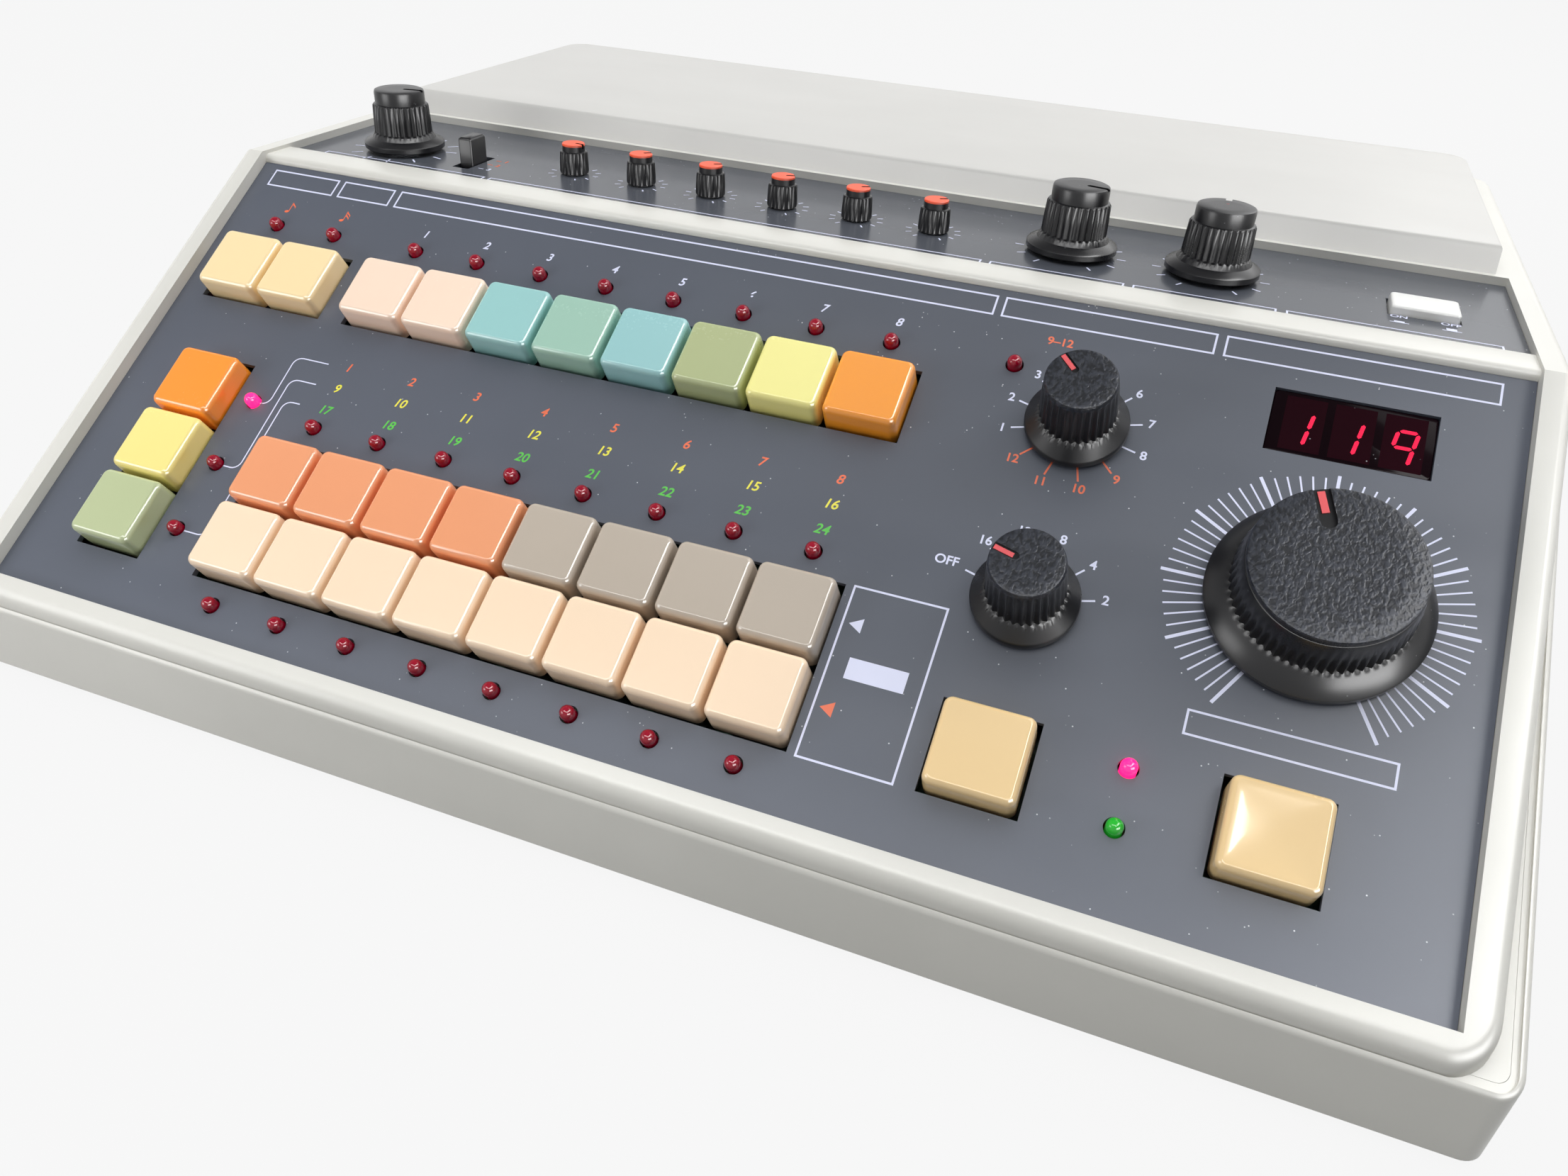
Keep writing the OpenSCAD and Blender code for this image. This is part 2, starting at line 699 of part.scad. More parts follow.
module rear_sockets() {
    for (i = [0:jack_n - 1]) color("#b9bcc2") at_socket(i) difference() {
        union() {
            translate([0, 0, -wall - cut])
                cylinder(r = jack_bush_r(), h = wall + cut + jack_nut_h, $fn = round_n);
            cylinder(r = jack_nut_r, h = jack_nut_h - 0.4, $fn = 6);
            translate([0, 0, -wall - jack_len / 2]) cube([jack_box, jack_box, jack_len], center = true);
        }
        translate([0, 0, -jack_len]) cylinder(r = jack_r, h = far, $fn = round_n);
    }
    color("#2a2a2e") at_socket(jack_n + 1) {
        translate([0, 0, -wall - gland_in]) tube(gland_out_r(), gland_r, wall + gland_in + jack_nut_h);
        tube(gland_out_r() + gland_lip, gland_r, jack_nut_h);
        translate([0, 0, -wall - gland_plate]) tube(gland_out_r() + gland_lip, gland_r, gland_plate);
    }
}

module power_supply() {
    color("#4c4e54") translate([psu_at[0], psu_at[1], floor_z]) {
        translate([0, 0, psu_size[2] / 2]) cube(psu_size, center = true);
        difference() {
            translate([0, 0, 1]) cube([psu_size[0] + 2 * psu_flange, psu_size[1], 2], center = true);
            for (x = [-1, 1]) translate([x * (psu_size[0] + psu_flange) / 2, 0, -cut])
                cylinder(r = 1.7, h = 2 + 2 * cut, $fn = round_n);
        }
    }
}

// ---- buttons ----

// A side view of a cap: its skirt and its rounded upper edges
function cap_section(w, h, below, edge) = concat([[-w / 2, -below]],
    arc([edge - w / 2, h - edge], edge, 180, 90), arc([w / 2 - edge, h - edge], edge, 90, 0),
    [[w / 2, -below]]);

module cap(size, h, below, r, edge) {
    intersection() {
        translate([0, 0, -below]) linear_extrude(h + below) rounded_square(size[0], size[1], r);
        rotate([90, 0, 0]) linear_extrude(2 * size[1], center = true)
            polygon(cap_section(size[0], h, below, edge));
        rotate([90, 0, 90]) linear_extrude(2 * size[0], center = true)
            polygon(cap_section(size[1], h, below, edge));
    }
}

module key_button(size, shade) {
    foot = board_z - travel - 1;
    color(shade) {
        cap(size, cap_rise, cap_skirt, cap_corner_r, cap_edge_r);
        translate([0, 0, -foot]) cylinder(r = stem_r, h = foot - cap_skirt + cut, $fn = round_n);
    }
}

arranger_shades = ["#fbe0c8", "#fbe0c8", "#9ccfcc", "#a3c9b7", "#9ccfcf", "#b6be8c", "#faf39a", "#ffa62e"];
bank_shades = ["#ff9a2b", "#fbe88f", "#bcc69a"];

module button_register(i) { at_cell([register_cols[i - 1], arranger_row]) key_button(cap_size, "#fce3ae"); }
module button_arranger(i) { at_cell([i - 1, arranger_row]) key_button(cap_size, arranger_shades[i - 1]); }
module button_bank(i) { at_cell([bank_col, bank_rows[i - 1]]) key_button(cap_size, bank_shades[i - 1]); }
module button_rhythm(i) {
    shade = i > 8 ? "#fbdfbf" : (i > 4 ? "#b3a593" : "#f0a070");
    at_cell([(i - 1) % 8, rhythm_rows[i > 8 ? 1 : 0]]) key_button(cap_size, shade);
}
module button_manual() { at_cell([manual_col, rhythm_rows[1]]) key_button(single_size, "#f3d49c"); }
module button_start() { at_cell([start_col, rhythm_rows[1]]) key_button(single_size, "#f3d49c"); }

module button_power() {
    color("#e9e7e0") on_top(power_at[0], power_at[1]) {
        intersection() {
            translate([0, 0, -power_below]) linear_extrude(power_rise + power_below)
                rounded_square(power_w, power_l, 1);
            rotate([90, 0, 0]) linear_extrude(2 * power_w, center = true) polygon(concat(
                [[-power_w / 2, -power_below]], arc([0.8 - power_w / 2, power_rise - 0.8], 0.8, 180, 90),
                arc([power_w / 2 - 0.8, power_rise - 0.8], 0.8, 90, 0), [[power_w / 2, -power_below]]));
        }
        translate([0, 0, -power_below - power_stem])
            cylinder(r = stem_r, h = power_stem + cut, $fn = round_n);
    }
}

module slide_lever() {
    color("#1c1c1e") on_top(lever_at[0], lever_at[1]) {
        side_prism([[-lever_l / 2, -lever_below], [-lever_l / 2, lever_h - 1], [1 - lever_l / 2, lever_h],
            [lever_l / 2 - 1, lever_h], [lever_l / 2, lever_h - 1], [lever_l / 2, -lever_below]], lever_w);
        translate([-tang[0] / 2, -tang[1] / 2, -lever_below - tang_h])
            cube([tang[0], tang[1], tang_h + cut]);
    }
}

// ---- knobs ----

// A cylinder with shallow upright flutes
module fluted(r, depth, n, h) {
    linear_extrude(h) polygon([for (i = [0:2 * n - 1]) let (a = 180 * i / n, q = i % 2 == 0 ? r : r - depth)
        q * [cos(a), sin(a)]]);
}

// A skirted knob with a line on top, which points along +Y before it is turned
module skirted_knob(h, skirt, body, neck, flutes, hollow_r, turn) {
    pocket = max(bush_h, nut_h) + clear;
    flare = rim_h + 1.5;
    neck_l = neck < body - 0.5 ? 5 : 1;
    color("#2b2a2c") rotate(turn) difference() {
        union() {
            difference() {
                union() {
                    rotate_extrude($fn = round_n) polygon([[0, knob_lift], [skirt, knob_lift],
                        [skirt, rim_h], [body + 1.5, flare], [0, flare]]);
                    translate([0, 0, rim_h]) fluted(body, 0.5, flutes, h - rim_h - neck_l);
                    translate([0, 0, h - neck_l - cut])
                        cylinder(r = neck, h = neck_l + cut, $fn = round_n);
                }
                cylinder(r = hollow_r, h = pocket, $fn = round_n);
            }
            translate([0, 0, -shaft_l]) cylinder(r = shaft_r, h = shaft_l + pocket + cut, $fn = round_n);
        }
        translate([-0.5, 0.2 * body, h - 0.5]) cube([1, body, 2]);
    }
}

module selector_knob(turn) { skirted_knob(knob_h, skirt_r, body_r, body_r - 0.6, 36, nut_r + 1, turn); }
module rear_knob(turn) { skirted_knob(rear_knob_h, skirt_r, body_r, body_r - 1.2, 36, nut_r + 1, turn); }

module dial_tempo() {
    at_cell(dial_cell) skirted_knob(knob_h, dial_skirt_r, dial_r, dial_r - 1.2, 60, nut_r + 1, 20);
}
module knob_intro() { at_cell(intro_cell) selector_knob(45); }
module knob_measures() { at_cell(measures_cell) selector_knob(75); }
module knob_mode() { on_top(mode_at[0], mode_at[1]) rear_knob(-75); }
module knob_accent() { on_top(accent_x, skirted_y) rear_knob(-100); }
module knob_volume() { on_top(volume_x, skirted_y) rear_knob(0); }

voice_turns = [-95, -50, -60, -70, -60, -60];
small_lift = 0.5;
small_neck = 2.5;

module knob_voice(i) {
    color("#2b2a2c") on_top(voice_x + (i - 1) * small_pitch, voice_y)
    rotate(voice_turns[i - 1]) difference() {
        union() {
            translate([0, 0, small_lift]) fluted(small_r, 0.35, 24, small_h - small_neck - small_lift);
            translate([0, 0, small_h - small_neck - cut])
                cylinder(r = small_r - 0.9, h = small_neck + cut, $fn = round_n);
            translate([0, 0, -shaft_l])
                cylinder(r = small_shaft_r, h = shaft_l + small_lift + cut, $fn = round_n);
        }
        translate([-0.4, 0.8, small_h - 0.6]) cube([0.8, small_r, 2]);
    }
}

// ---- all pieces, set about the middle of the case ----

module want(name) {
    translate([0, -case_d / 2, 0]) children();
}

want("case_base") case_base();
want("case_top") case_top();
want("lid_plate") lid_plate();
want("key_panel") key_panel();
want("knob_panel") knob_panel();
want("lamps") lamps();
want("lamps_lit") lamps_lit();
want("display_window") display_window();
want("circuit_boards") circuit_boards();
want("key_switches") key_switches();
want("controls") controls();
want("rear_sockets") rear_sockets();
want("power_supply") power_supply();
want("feet") feet();
want("screws") screws();
want("dial_tempo") dial_tempo();
want("knob_intro") knob_intro();
want("knob_measures") knob_measures();
want("knob_mode") knob_mode();
want("knob_accent") knob_accent();
want("knob_volume") knob_volume();
want("slide_lever") slide_lever();
want("button_power") button_power();
want("button_manual") button_manual();
want("button_start") button_start();
for (i = [1:6]) want(str("knob_voice_", i)) knob_voice(i);
for (i = [1:2]) want(str("button_register_", i)) button_register(i);
for (i = [1:8]) want(str("button_arranger_", i)) button_arranger(i);
for (i = [1:3]) want(str("button_bank_", i)) button_bank(i);
for (i = [1:16]) want(str("button_rhythm_", i)) button_rhythm(i);
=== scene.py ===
# %% [markdown]
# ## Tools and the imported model
# The object is a desktop drum machine: a cream case, a sloping panel of square buttons and a
# level panel of knobs. Each solid is a node, and each node belongs to a body that a joint can
# move. A piece made here rides on a body and replaces the node it stands for, so it moves as the
# solid would. Lengths are metres in the model's own frame, and millimetres are written as n *
# MM.

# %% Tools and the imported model
import json
import math
import bmesh
import bpy
from mathutils import Matrix, Vector


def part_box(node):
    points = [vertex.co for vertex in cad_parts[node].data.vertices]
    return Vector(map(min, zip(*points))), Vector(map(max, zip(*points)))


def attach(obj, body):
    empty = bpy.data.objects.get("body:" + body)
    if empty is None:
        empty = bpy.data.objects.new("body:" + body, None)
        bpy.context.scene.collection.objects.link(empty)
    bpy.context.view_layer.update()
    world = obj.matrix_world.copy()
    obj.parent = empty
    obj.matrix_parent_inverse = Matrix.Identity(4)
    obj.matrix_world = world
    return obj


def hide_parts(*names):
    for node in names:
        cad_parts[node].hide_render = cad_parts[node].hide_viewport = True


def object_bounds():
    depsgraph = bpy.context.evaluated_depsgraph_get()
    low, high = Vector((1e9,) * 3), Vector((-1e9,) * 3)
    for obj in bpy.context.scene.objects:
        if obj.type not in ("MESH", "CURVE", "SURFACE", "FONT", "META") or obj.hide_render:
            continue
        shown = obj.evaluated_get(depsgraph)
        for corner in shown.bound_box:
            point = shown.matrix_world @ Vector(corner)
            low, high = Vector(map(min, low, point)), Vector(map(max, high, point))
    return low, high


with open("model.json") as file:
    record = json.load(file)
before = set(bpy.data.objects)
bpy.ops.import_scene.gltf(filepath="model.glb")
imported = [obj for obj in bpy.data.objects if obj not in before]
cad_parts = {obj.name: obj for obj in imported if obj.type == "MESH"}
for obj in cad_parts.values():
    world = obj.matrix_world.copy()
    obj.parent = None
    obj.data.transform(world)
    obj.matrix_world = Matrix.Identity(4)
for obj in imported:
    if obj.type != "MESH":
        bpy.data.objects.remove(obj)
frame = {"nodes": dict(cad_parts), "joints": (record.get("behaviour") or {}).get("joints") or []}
cad_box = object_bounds()
nodes = frame["nodes"]
joints = {j["name"]: j for j in frame["joints"]}
MM = 0.001
print(len(nodes), "nodes,", len(joints), "joints; box in metres", *cad_box)

# %% [markdown]
# ## Camera
# The photograph is taken from close by, with a wide lens, so the front corner looks large and the
# rear small. A camera can be set by eye, or solved from points whose real places are known. The
# grid of buttons gives such points, so the place, the turn about X, Y and Z and the lens were
# solved from them.

# %% Camera
CAMERA_PLACE = (0.10205, -0.32181, 0.20312)
CAMERA_TURN = (56.358, -2.844, 21.223)
LENS = 27.287

camera_data = bpy.data.cameras.new("camera")
camera_data.sensor_width = 36
camera_data.lens = LENS
camera = bpy.data.objects.new("camera", camera_data)
camera.location = CAMERA_PLACE
camera.rotation_euler = [math.radians(a) for a in CAMERA_TURN]
bpy.context.scene.collection.objects.link(camera)
bpy.context.scene.camera = camera
print("camera at", CAMERA_PLACE, "with a lens of", LENS, "mm")

# %% [markdown]
# ## Frames of the two panels
# On the real panel everything follows the buttons' spacing. So columns and rows are counted in
# spacings from the first lamp of the middle row, and a matrix carries them to the slope. The
# slope's angle is read from the dial's joint, not typed, and the level panel's place from its
# solid: where the model changes, the looks follow.

# %% Frames of the two panels
PITCH = 20 * MM
CENTRE_COLUMN = 5.46
DIAL = (12.36, 0.8)
INTRO = (9.46, 2.36)
MEASURES = (9.46, 0.03)

dial_joint = joints["dial_tempo_turn"]
normal = Vector(dial_joint["axis"])
slope = math.atan2(-normal.y, normal.z)
uphill = Vector((0, math.cos(slope), math.sin(slope)))
key_origin = Vector(dial_joint["pos_m"]) - uphill * DIAL[1] * PITCH
key_origin.x = 0
KEYS = Matrix.Translation(key_origin) @ Matrix.Rotation(slope, 4, "X")

panel_low, panel_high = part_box("knob_panel")
FIT = 0.1 * MM
up_front = panel_low.y - FIT
up_back = panel_high.y + FIT
KNOBS = Matrix.Translation((0, up_front, panel_high.z))
PANEL_HALF = panel_high.x + FIT
print(f"key panel slopes by {math.degrees(slope):.1f} degrees")


def cell(column, row):
    """A place on the key panel, in metres from its origin."""
    return (column - CENTRE_COLUMN) * PITCH, row * PITCH


def spot(joint):
    """The place of a knob's joint on the knob panel, from the panel's front edge."""
    place = Vector(joints[joint]["pos_m"])
    return place.x, place.y - up_front

# %% [markdown]
# ## Shader maths
# A texture's value is shaped by adding, multiplying and comparing. In Blender each such step is a
# Math node. A small class that overloads + - * makes those nodes from plain Python, which is far
# easier to read than a list of links. It works on single values only, because a Math node would
# turn a colour grey.

# %% Shader maths
class Wire:
    """A shader value that adds, multiplies and so on by making Math nodes."""

    def __init__(self, tree, socket):
        self.tree = tree
        self.socket = socket

    def maths(self, kind, first, second):
        return self.tree.add("ShaderNodeMath", operation=kind, Value=first, Value_001=second)

    def __add__(self, other):
        return self.maths("ADD", self, other)

    def __radd__(self, other):
        return self.maths("ADD", other, self)

    def __sub__(self, other):
        return self.maths("SUBTRACT", self, other)

    def __rsub__(self, other):
        return self.maths("SUBTRACT", other, self)

    def __mul__(self, other):
        return self.maths("MULTIPLY", self, other)

    def __rmul__(self, other):
        return self.maths("MULTIPLY", other, self)

    def above(self, edge, soft):
        """0 below edge, and 1 from edge + soft on."""
        return self.tree.add("ShaderNodeMapRange", Value=self, From_Min=edge, From_Max=edge + soft)

# %% [markdown]
# ## One way to add a node
# A material is a tree of nodes, and so is the sky. Making a node by hand takes four or five
# lines, and the settings have to come before the sockets, because a setting can change which
# sockets there are. So one method makes any node: it takes the node's type, its settings in small
# letters, and the values or links of its sockets under their own names.

# %% One way to add a node
class Nodes:
    """A tree of shader nodes, and the one method that adds to it."""

    def __init__(self, tree):
        self.tree = tree

    def add(self, kind, output=0, **settings):
        """Makes a node and gives one of its outputs; a blank in a socket's name is written as _."""
        node = self.tree.nodes.new(kind)
        for name, value in settings.items():
            if name[0].islower():
                setattr(node, name, value)
        for name, value in settings.items():
            if not name[0].islower():
                self.join(self.find(node, name), value)
        return Wire(self, node.outputs[output])

    def find(self, node, name):
        """An input by its name; a number at the end picks among inputs of one name."""
        base, _, number = name.partition("_00")
        same = [s for s in node.inputs if s.name.replace(" ", "_") == base and s.enabled]
        return same[int(number or 0)]

    def join(self, socket, value):
        if isinstance(value, Wire):
            self.tree.links.new(value.socket, socket)
        else:
            socket.default_value = value

    def show(self, surface):
        """Links a shader to the end of the tree."""
        end = next(n for n in self.tree.nodes if n.type in ("OUTPUT_MATERIAL", "OUTPUT_WORLD"))
        self.join(end.inputs["Surface"], surface)

# %% [markdown]
# ## A finish
# Each finish starts from the Principled shader, which covers plastic, paint and metal alike. Its
# patterns are laid out on Object coordinates: they stay with a piece when it moves, and need no
# unwrapping. The helpers make what most finishes share, which is noise, cells, a blend of two
# colours and relief.

# %% A finish
class Finish(Nodes):
    """A material, with helpers for its colour, roughness and relief."""

    def __init__(self, name):
        self.material = bpy.data.materials.new(name)
        self.material.use_nodes = True
        super().__init__(self.material.node_tree)
        self.shader = self.tree.nodes["Principled BSDF"]
        self.place = self.add("ShaderNodeTexCoord", "Object")

    def put(self, **inputs):
        """Gives values or links to the Principled shader."""
        for name, value in inputs.items():
            self.join(self.shader.inputs[name.replace("_", " ")], value)

    def noise(self, scale, detail=3.0, stretch=None, distortion=0.0):
        place = self.place
        if stretch:
            place = self.add("ShaderNodeVectorMath", operation="MULTIPLY", Vector=place,
                             Vector_001=stretch)
        return self.add("ShaderNodeTexNoise", "Fac", Vector=place, Scale=scale, Detail=detail,
                        Distortion=distortion)

    def cells(self, scale):
        return self.add("ShaderNodeTexVoronoi", "Distance", Vector=self.place, Scale=scale)

    def mix(self, amount, first, second):
        """Blends two colours."""
        return self.add("ShaderNodeMix", 2, data_type="RGBA", Factor=amount, A=first, B=second)

    def bump(self, height, strength, depth=0.1 * MM):
        return self.add("ShaderNodeBump", Strength=strength, Distance=depth, Height=height)


def rgb(code, lift=1.0):
    """A colour from its #rrggbb code, in linear light."""
    channels = [int(code[i:i + 2], 16) / 255 for i in (1, 3, 5)]
    return (*[min(1.0, lift * (c / 12.92 if c < 0.04045 else ((c + 0.055) / 1.055) ** 2.4))
              for c in channels], 1.0)

# %% [markdown]
# ## Moulded plastic and paint
# Nearly all that shows is moulded plastic or sprayed paint. A single flat colour looks like a
# toy, so three noises are laid over it: a wide cloud that shifts the colour a little, a stretched
# smear that varies the gloss as handling does, and a fine grain for relief. Dust is a Voronoi
# texture: only the middle of a few cells turns pale. A fixed value, such as the coat's roughness
# or the shine, is set on the shader's own socket.

# %% Moulded plastic and paint
DUST = (0.75, 0.76, 0.8, 1)
COAT_ROUGH = 0.08


def moulded(name, code, rough, grain, grain_size, mottle, coat=0.0, dust=0.0, shine=0.5):
    """Moulded plastic or paint: soft mottling, fine relief, uneven gloss and dust if asked."""
    f = Finish(name)
    cloud = f.noise(22, 4)
    fine = f.noise(1 / grain_size, 2)
    smear = f.noise(9, 3, stretch=(1, 5, 5), distortion=0.4)
    shade = f.mix(cloud.above(0.35, 0.35), rgb(code, 1 - mottle), rgb(code, 1 + mottle))
    if dust:
        near = f.cells(520)
        chance = f.noise(310, 0)
        speck = (1 - near.above(0.05, 0.06)) * chance.above(0.62, 0.05) * dust
        shade = f.mix(speck, shade, DUST)
    f.put(Base_Color=shade, Roughness=rough + (smear - 0.5) * 0.14 + (fine - 0.5) * 0.05,
          Normal=f.bump(fine, grain, 0.05 * MM), Coat_Weight=coat)
    f.shader.inputs["Coat Roughness"].default_value = COAT_ROUGH
    f.shader.inputs["Specular IOR Level"].default_value = shine
    return f.material

# %% [markdown]
# ## Leather grain
# The knobs' tops have an embossed leather grain with pebbles of about a millimetre. It could be
# modelled, at a great cost in faces. It is too fine for that, so a stretched noise drives both
# the relief and a painted shade: the folds are painted darker and the pebbles lighter, as shade
# and highlights.

# %% Leather grain
def grained(name, code):
    """Black plastic with a leather grain, with painted shade in its folds and painted highlights on
    its pebbles.
    """
    f = Finish(name)
    fold_and_painted_shade = f.noise(1150, 1, stretch=(1, 0.6, 1), distortion=0.3)
    pore = f.noise(3200, 2)
    height = fold_and_painted_shade.above(0.36, 0.3) + pore * 0.15
    # Painted shade and highlight: the relief's noise also darkens the colour in the folds and
    # lightens it on the pebbles.
    f.put(Base_Color=f.mix(fold_and_painted_shade.above(0.38, 0.28), rgb(code, 0.55), rgb(code, 1.7)),
          Roughness=0.38 + (pore - 0.5) * 0.12, Normal=f.bump(height, 0.6, 0.12 * MM))
    f.shader.inputs["Specular IOR Level"].default_value = 0.3
    return f.material

# %% [markdown]
# ## Lit lamps, tinted lenses and metal
# A lit lamp gives light, so it gets emission. An unlit one is tinted epoxy under a thin clear
# coat, with painted light: its colour is painted lighter where it faces the eye and darker
# towards its rim, which Layer Weight measures, and the red one gets a faint painted glow. The
# metal of the sockets and screws is brushed, by a noise that is stretched along one axis.

# %% Lit lamps, tinted lenses and metal
def glowing(name, code, strength):
    """Something lit from within."""
    f = Finish(name)
    core = f.noise(900, 1)
    f.put(Base_Color=f.mix(core, rgb(code, 0.8), rgb(code)), Emission_Color=rgb(code),
          Emission_Strength=strength, Roughness=0.15)
    return f.material


def lens(name, code, glow=0.0):
    """Tinted epoxy under a clear coat, its colour painted lighter where it faces the eye and darker
    at its rim.
    """
    f = Finish(name)
    # Painted light: Layer Weight's Facing makes the colour lighter where the dome faces the eye and
    # darker towards its rim.
    edge = f.add("ShaderNodeLayerWeight", "Facing", Blend=0.35)
    f.put(Base_Color=f.mix(edge, rgb(code, 1.3), rgb(code, 0.5)), Emission_Color=rgb(code),
          Emission_Strength=glow, Roughness=0.08 + f.noise(800, 1) * 0.08, Coat_Weight=0.3)
    f.shader.inputs["Specular IOR Level"].default_value = 0.3
    return f.material


def metal(name, code, rough):
    """Brushed metal."""
    f = Finish(name)
    brushed = f.noise(60, 3, stretch=(1, 30, 30))
    f.put(Base_Color=f.mix(brushed, rgb(code, 0.85), rgb(code)), Metallic=1.0,
          Roughness=rough + (brushed - 0.5) * 0.15)
    return f.material

# %% [markdown]
# ## The finishes
# Each colour was read from the photograph in a plainly lit place and is written as its #rrggbb
# code. The case is cream and semi-gloss, the lid paint greyer and duller, the key panel a blue
# grey full of dust, and the black of the knobs has a low shine so that it stays deep under a
# white background.

# %% The finishes
SHELL = moulded("shell_cream", "#d7d5ce", 0.34, 0.05, 0.6 * MM, 0.03)
LID = moulded("lid_paint", "#c8c6c2", 0.38, 0.10, 0.35 * MM, 0.02, shine=0.45)
KEY_PAINT = moulded("key_panel_paint", "#525763", 0.38, 0.08, 0.3 * MM, 0.04, dust=0.8)
KNOB_PAINT = moulded("knob_panel_paint", "#4a4d54", 0.24, 0.02, 0.4 * MM, 0.03, coat=0.1, dust=0.8,
                     shine=0.25)
BLACK = moulded("black_plastic", "#131316", 0.3, 0.05, 0.4 * MM, 0.1, dust=0.15, shine=0.4)
LEATHER = grained("grained_black", "#23262e")
POINTER = moulded("pointer_red", "#f0444c", 0.4, 0.05, 0.5 * MM, 0.05)
KNOB_ORANGE = moulded("knob_cap_orange", "#ff5a30", 0.4, 0.05, 0.5 * MM, 0.05)
WHITE_PRINT = moulded("print_white", "#d6d9f0", 0.5, 0.03, 0.2 * MM, 0.04)
ORANGE_PRINT = moulded("print_orange", "#e8693c", 0.5, 0.03, 0.2 * MM, 0.04)
YELLOW_PRINT = moulded("print_yellow", "#e4dc3a", 0.5, 0.03, 0.2 * MM, 0.04)
GREEN_PRINT = moulded("print_green", "#4fbf3c", 0.5, 0.03, 0.2 * MM, 0.04)
# The unlit red lamps get a faint painted glow: an emission of 0.05, though they are not lit.
LAMP_RED_PAINTED_GLOW = lens("lamp_red", "#8c0020", 0.05)
LAMP_LIT = glowing("lamp_lit", "#ff1a66", 2.2)
LAMP_GREEN = lens("lamp_green", "#1c9a26", 0.35)
WINDOW = moulded("window_smoke", "#12060b", 0.12, 0.01, 0.5 * MM, 0.2, dust=0.5, shine=0.06)
WINDOW_TILE = moulded("window_tile", "#22060f", 0.14, 0.01, 0.5 * MM, 0.2, dust=0.5, shine=0.06)
DIGIT = glowing("digit_red", "#e6103f", 0.75)
POWER_WHITE = moulded("power_white", "#e4e3e0", 0.3, 0.04, 0.5 * MM, 0.03)
RUBBER = moulded("rubber_black", "#1c1c1e", 0.8, 0.2, 0.3 * MM, 0.1)
BOARD = moulded("board_green", "#1f4a34", 0.45, 0.1, 1.0 * MM, 0.1)
DARK = moulded("switch_black", "#141416", 0.5, 0.1, 0.5 * MM, 0.1)
STEEL = metal("steel", "#a8aab0", 0.34)
NICKEL = metal("nickel", "#c4c6ca", 0.18)
SUPPLY = moulded("supply_paint", "#3c3e44", 0.5, 0.15, 0.5 * MM, 0.08)
PRINTS = [WHITE_PRINT, ORANGE_PRINT, YELLOW_PRINT, GREEN_PRINT]
WHITE, ORANGE, YELLOW, GREEN = range(4)
print(len(bpy.data.materials), "finishes")

# %% [markdown]
# ## From a bmesh to a piece
# Every piece is shaped in a bmesh, which has the editor's operators without its modes.

# %% From a bmesh to a piece
def piece(name, bm, materials, body, hides=(), at=Matrix.Identity(4), crease=40):
    """Turns a bmesh into a piece that rides on a body and stands for the nodes in hides."""
    bmesh.ops.recalc_face_normals(bm, faces=bm.faces)
    bm.transform(at)
    mesh = bpy.data.meshes.new(name)
    bm.to_mesh(mesh)
    bm.free()
    for material in materials:
        mesh.materials.append(material)
    mesh.shade_smooth()
    mesh.set_sharp_from_angle(angle=math.radians(crease))
    thing = bpy.data.objects.new(name, mesh)
    bpy.context.scene.collection.objects.link(thing)
    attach(thing, body)
    if hides:
        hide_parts(*hides)
    print(f"{name}: {len(mesh.polygons)} faces on {body}")
    return thing

# %% [markdown]
# ## Extruding through rings
# Caps, knobs, lamps and lenses are all one idea: an outline that grows, shrinks and turns round
# on its way up. They could be spun from a profile, but flutes and rounded squares aren't round.
# So a face is extruded from ring to ring, and each ring's points say where the new edge goes. The
# last face of each step is deleted, or it would stay inside the solid.

# %% Extruding through rings
def draw_out(bm, rings, bands):
    """Extrudes a face from ring to ring; bands gives the finish of each step, then of the end."""
    base = face = bm.faces.new([bm.verts.new(p) for p in rings[0]])
    face.material_index = bands[0]
    for ring, before, after in zip(rings[1:], bands, bands[1:]):
        made = bmesh.ops.extrude_face_region(bm, geom=[face])["geom"]
        if face is not base:
            bmesh.ops.delete(bm, geom=[face], context="FACES_ONLY")
        face = next(g for g in made if isinstance(g, bmesh.types.BMFace))
        for vert, place in zip(face.verts, ring):
            vert.co = place
        for side in {f for edge in face.edges for f in edge.link_faces}:
            side.material_index = before
        face.material_index = after


def loft(bm, rings, material=0):
    """A closed solid through rings of equally many points, in one finish."""
    draw_out(bm, rings, [material] * len(rings))

# %% [markdown]
# ## Rings
# A ring is only a list of places. A round one may have flutes, by a cosine that pulls its radius
# in, and a square one has quarter circles for corners. The number of points must be the same for
# all the rings of one piece.

# %% Rings
def circle_ring(radius, z, steps, flutes=0, depth=0.0, centre=(0, 0)):
    """A circle at height z, with flutes if asked."""
    ring = []
    for i in range(steps):
        a = 2 * math.pi * i / steps
        r = radius - depth * (0.5 - 0.5 * math.cos(flutes * a)) if flutes else radius
        ring.append((centre[0] + r * math.cos(a), centre[1] + r * math.sin(a), z))
    return ring


def square_ring(half_w, half_l, corner, z, centre=(0, 0), steps=6):
    """A rounded rectangle at height z."""
    ring = []
    for k, (sx, sy) in enumerate(((1, 1), (-1, 1), (-1, -1), (1, -1))):
        for i in range(steps + 1):
            a = math.pi / 2 * (k + i / steps)
            ring.append((centre[0] + sx * (half_w - corner) + corner * math.cos(a),
                         centre[1] + sy * (half_l - corner) + corner * math.sin(a), z))
    return ring

